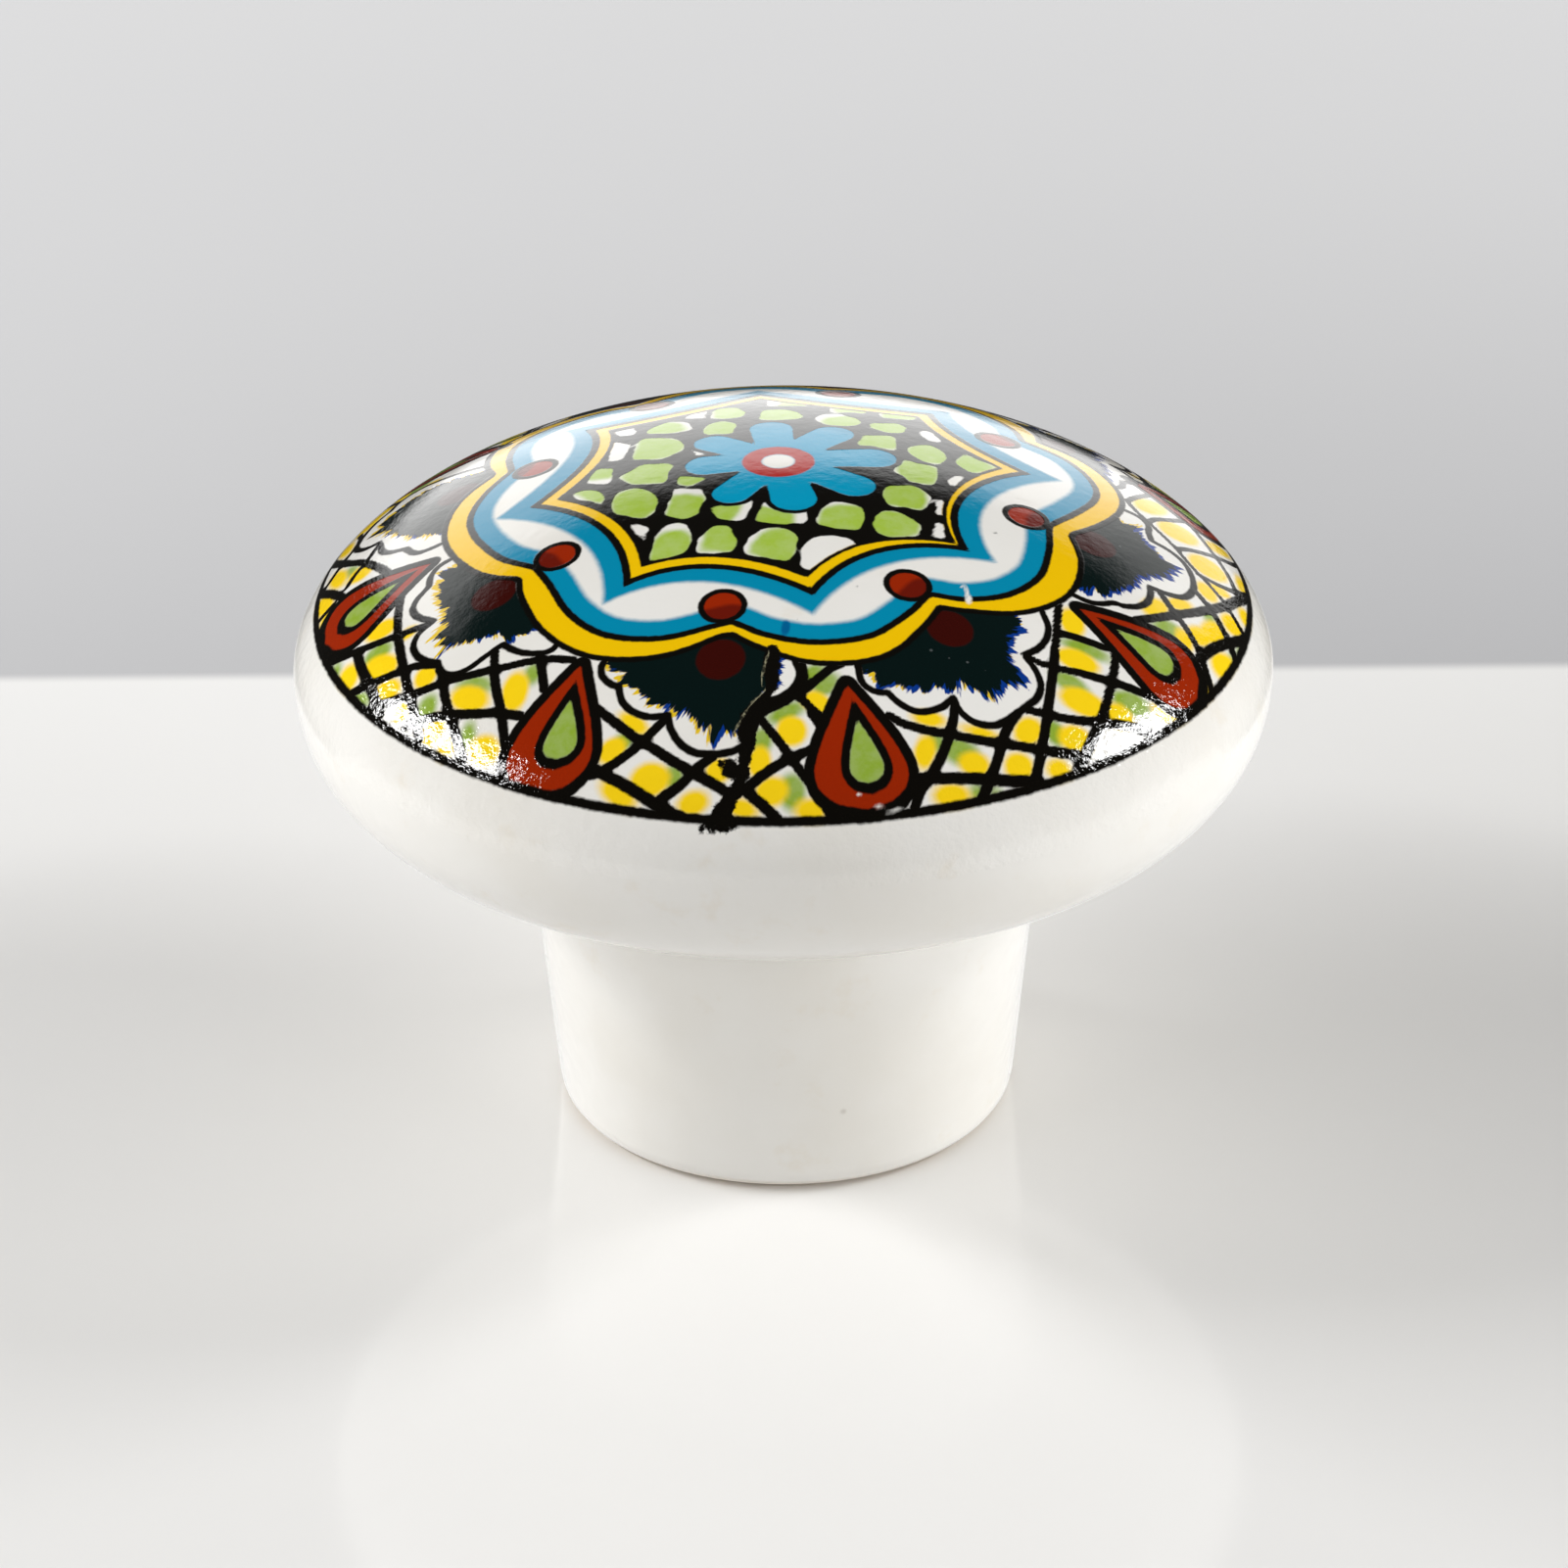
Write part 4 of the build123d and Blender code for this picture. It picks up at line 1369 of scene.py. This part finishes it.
# Lights: bearing, 0 behind and 90 on the right, and elevation in degrees, then distance, width and height in
# metres, whether the glaze mirrors the light, and its lean in degrees
LIGHTS = {
    "fill_left": (-108, 20, 0.5, 0.4, 0.3, False, 0),
    "fill_right": (108, 7, 0.5, 0.4, 0.3, False, 0),
    "glint_left": (-81, 34, 0.45, 0.28, 0.05, True, 30),
    "glint_right": (81, 32.5, 0.45, 0.17, 0.06, True, -34),
}
LIGHT_AIM = (0.0, 0.0, 20.0)  # millimetres
FLOOR_REACH = 3.0  # metres
MIRRORED_FLOOR = 0.85  # level that the glaze mirrors from below the horizon
MIRRORED_ROOM = 0.03  # level that it mirrors from everywhere else
SEEN_BACKDROP = 0.62  # level that the camera sees past the floor
WARM_WHITE = (1.0, 0.995, 0.985, 1.0)

# Camera, from the fit of the knob's outlines, in millimetres, radians and pixels of the photograph
CAMERA_EYE = (0.0, -200.265, 119.731)
CAMERA_AIM = (-0.011, 0.0, 13.9)
CAMERA_ROLL = -0.0084
FOCAL_PIXELS = 5577.18
PHOTO_PIXELS = 1601
SENSOR_WIDTH = 36.0


def softbox(name, watts, bearing, elevation, distance, wide, tall, mirrored, lean):
    """A rectangular light that faces the knob."""
    turn, rise = math.radians(bearing), math.radians(elevation)
    away = Vector((math.sin(turn) * math.cos(rise), math.cos(turn) * math.cos(rise), math.sin(rise)))
    data = bpy.data.lights.new(name, "AREA")
    data.shape = "RECTANGLE"
    data.size = wide
    data.size_y = tall
    data.energy = watts
    light = bpy.data.objects.new(name, data)
    light.location = Vector(LIGHT_AIM) * MM + away * distance
    facing = away.to_track_quat("Z", "Y").to_matrix() @ Matrix.Rotation(math.radians(lean), 3, "Z")
    light.rotation_euler = facing.to_euler()
    light.visible_glossy = mirrored
    bpy.context.scene.collection.objects.link(light)


def studio_world(level):
    """Even light for the shading, a bright low backdrop for the glaze to mirror, pale for the camera."""
    world = bpy.data.worlds.new("studio")
    world.use_nodes = True
    world.node_tree.nodes.clear()
    graph = Graph(world.node_tree)
    path = graph.node("ShaderNodeLightPath")
    x, y, z = graph.split(graph.node("ShaderNodeTexCoord", None, None, "Generated"))

    # Mirrored backdrop with four soft edges, and a pale level below the horizon
    top = graph.step(z + x * (0.12 - x * 0.33), 0.36, 0.52, 1.0, 0.0)
    bottom = graph.step(z, -0.2, 0.0)
    left = graph.step(x + y * (0.32 + z * 1.07), -0.05, 0.05)
    right = graph.step(y * (0.57 + z * 1.13) - x, -0.05, 0.05)
    backdrop = graph.step(y, 0.0, 0.3) * (top * bottom) * left * right
    brightness = (1.0 - x * x * 0.75) * graph.step(x, 0.2, 0.45, 1.0, 0.55) * (2.45 - z * 1.35)
    horizon = graph.step(y, 0.2, 0.6, -0.05, -0.4)
    under = graph.step(z - horizon, -0.05, 0.05, MIRRORED_FLOOR, 0.0)
    mirrored = backdrop * brightness + under + MIRRORED_ROOM

    # Even light, weaker from the front and from above
    front = graph.step(y, -0.75, 0.1, 0.48, 1.0)
    even = front * (1.5 - graph.high(z, 0.0) * 0.95) * level
    strength = even + (mirrored - even) * path.output("Is Glossy Ray")
    strength = strength + (SEEN_BACKDROP - strength) * path.output("Is Camera Ray")
    shader = graph.node("ShaderNodeBackground", None, {"Color": WARM_WHITE, "Strength": strength})
    graph.node("ShaderNodeOutputWorld", None, {"Surface": shader})
    return world


def floor_material(line):
    material, graph = new_material("pale_floor")
    spot = object_millimetres(graph)
    past_line = graph.step(graph.split(spot)[1] - line / MM, -0.6, 0.6)
    tone = graph.blend(past_line, srgb(235, 234, 232), srgb(181, 181, 183))
    cloud = graph.noise(spot, 0.02, 2.0)
    tone = graph.blend(graph.step(cloud, 0.3, 0.7, 0.0, 0.06), tone, srgb(196, 196, 198))
    finish_material(graph, {"Base Color": tone, "Roughness": 0.1})
    return material


def make_floor(line):
    mesh = bpy.data.meshes.new("floor")
    corners = [(x * FLOOR_REACH, y * FLOOR_REACH, 0) for x, y in ((-1, -1), (1, -1), (1, 1), (-1, 1))]
    mesh.from_pydata(corners, [], [(0, 1, 2, 3)])
    mesh.materials.append(floor_material(line))
    floor = bpy.data.objects.new("floor", mesh)
    bpy.context.scene.collection.objects.link(floor)
    floor.visible_glossy = False
    return floor


def make_camera():
    eye, aim = Vector(CAMERA_EYE) * MM, Vector(CAMERA_AIM) * MM
    forward = (aim - eye).normalized()
    level_right = forward.cross(Vector((0, 0, 1))).normalized()
    level_up = level_right.cross(forward)
    cos, sin = math.cos(CAMERA_ROLL), math.sin(CAMERA_ROLL)
    right, up = level_right * cos + level_up * sin, level_up * cos - level_right * sin
    data = bpy.data.cameras.new("camera")
    data.sensor_width = SENSOR_WIDTH
    data.lens = SENSOR_WIDTH * FOCAL_PIXELS / PHOTO_PIXELS
    data.clip_start = MM
    camera = bpy.data.objects.new("camera", data)
    camera.matrix_world = Matrix.Translation(eye) @ Matrix((right, up, -forward)).transposed().to_4x4()
    bpy.context.scene.collection.objects.link(camera)
    return camera


class KNOB_OT_stage(bpy.types.Operator):
    """Builds the floor, the lights and the camera"""
    bl_idname = "knob.make_stage"
    bl_label = "Make Stage"

    def execute(self, context):
        scene = context.scene
        stage = scene.knob_stage
        floor = make_floor(stage.backdrop_line)
        scene.world = studio_world(stage.ambient)
        for name, place in LIGHTS.items():
            softbox(name, getattr(stage, name), *place)
        scene.camera = make_camera()
        scene.view_settings.view_transform = "Standard"
        return {"FINISHED"}


class KNOB_PT_panel(bpy.types.Panel):
    """Settings and steps of the knob"""
    bl_idname = "KNOB_PT_panel"
    bl_label = "Cabinet Knob"
    bl_space_type = "VIEW_3D"
    bl_region_type = "UI"
    bl_category = "Knob"

    def draw(self, context):
        for group in GROUPS:
            box = self.layout.box()
            settings = getattr(context.scene, group)
            for name in setting_names(settings):
                box.prop(settings, name)
        for operator in OPERATORS:
            self.layout.operator(operator.bl_idname)


GROUPS = {
    "knob_shape": KnobShape, "knob_insert": KnobInsert, "knob_print": KnobPrint, "knob_colours": KnobColours,
    "knob_stage": KnobStage,
}
OPERATORS = (KNOB_OT_body, KNOB_OT_insert, KNOB_OT_stage)


def register():
    for name, group in GROUPS.items():
        bpy.utils.register_class(group)
        setattr(bpy.types.Scene, name, bpy.props.PointerProperty(type=group))
    for operator in OPERATORS:
        bpy.utils.register_class(operator)
    bpy.utils.register_class(KNOB_PT_panel)


def unregister():
    bpy.utils.unregister_class(KNOB_PT_panel)
    for operator in reversed(OPERATORS):
        bpy.utils.unregister_class(operator)
    for name, group in GROUPS.items():
        delattr(bpy.types.Scene, name)
        bpy.utils.unregister_class(group)


def main():
    register()
    bpy.ops.knob.make_body()
    bpy.ops.knob.make_insert()
    bpy.ops.knob.make_stage()


if __name__ == "__main__":
    main()
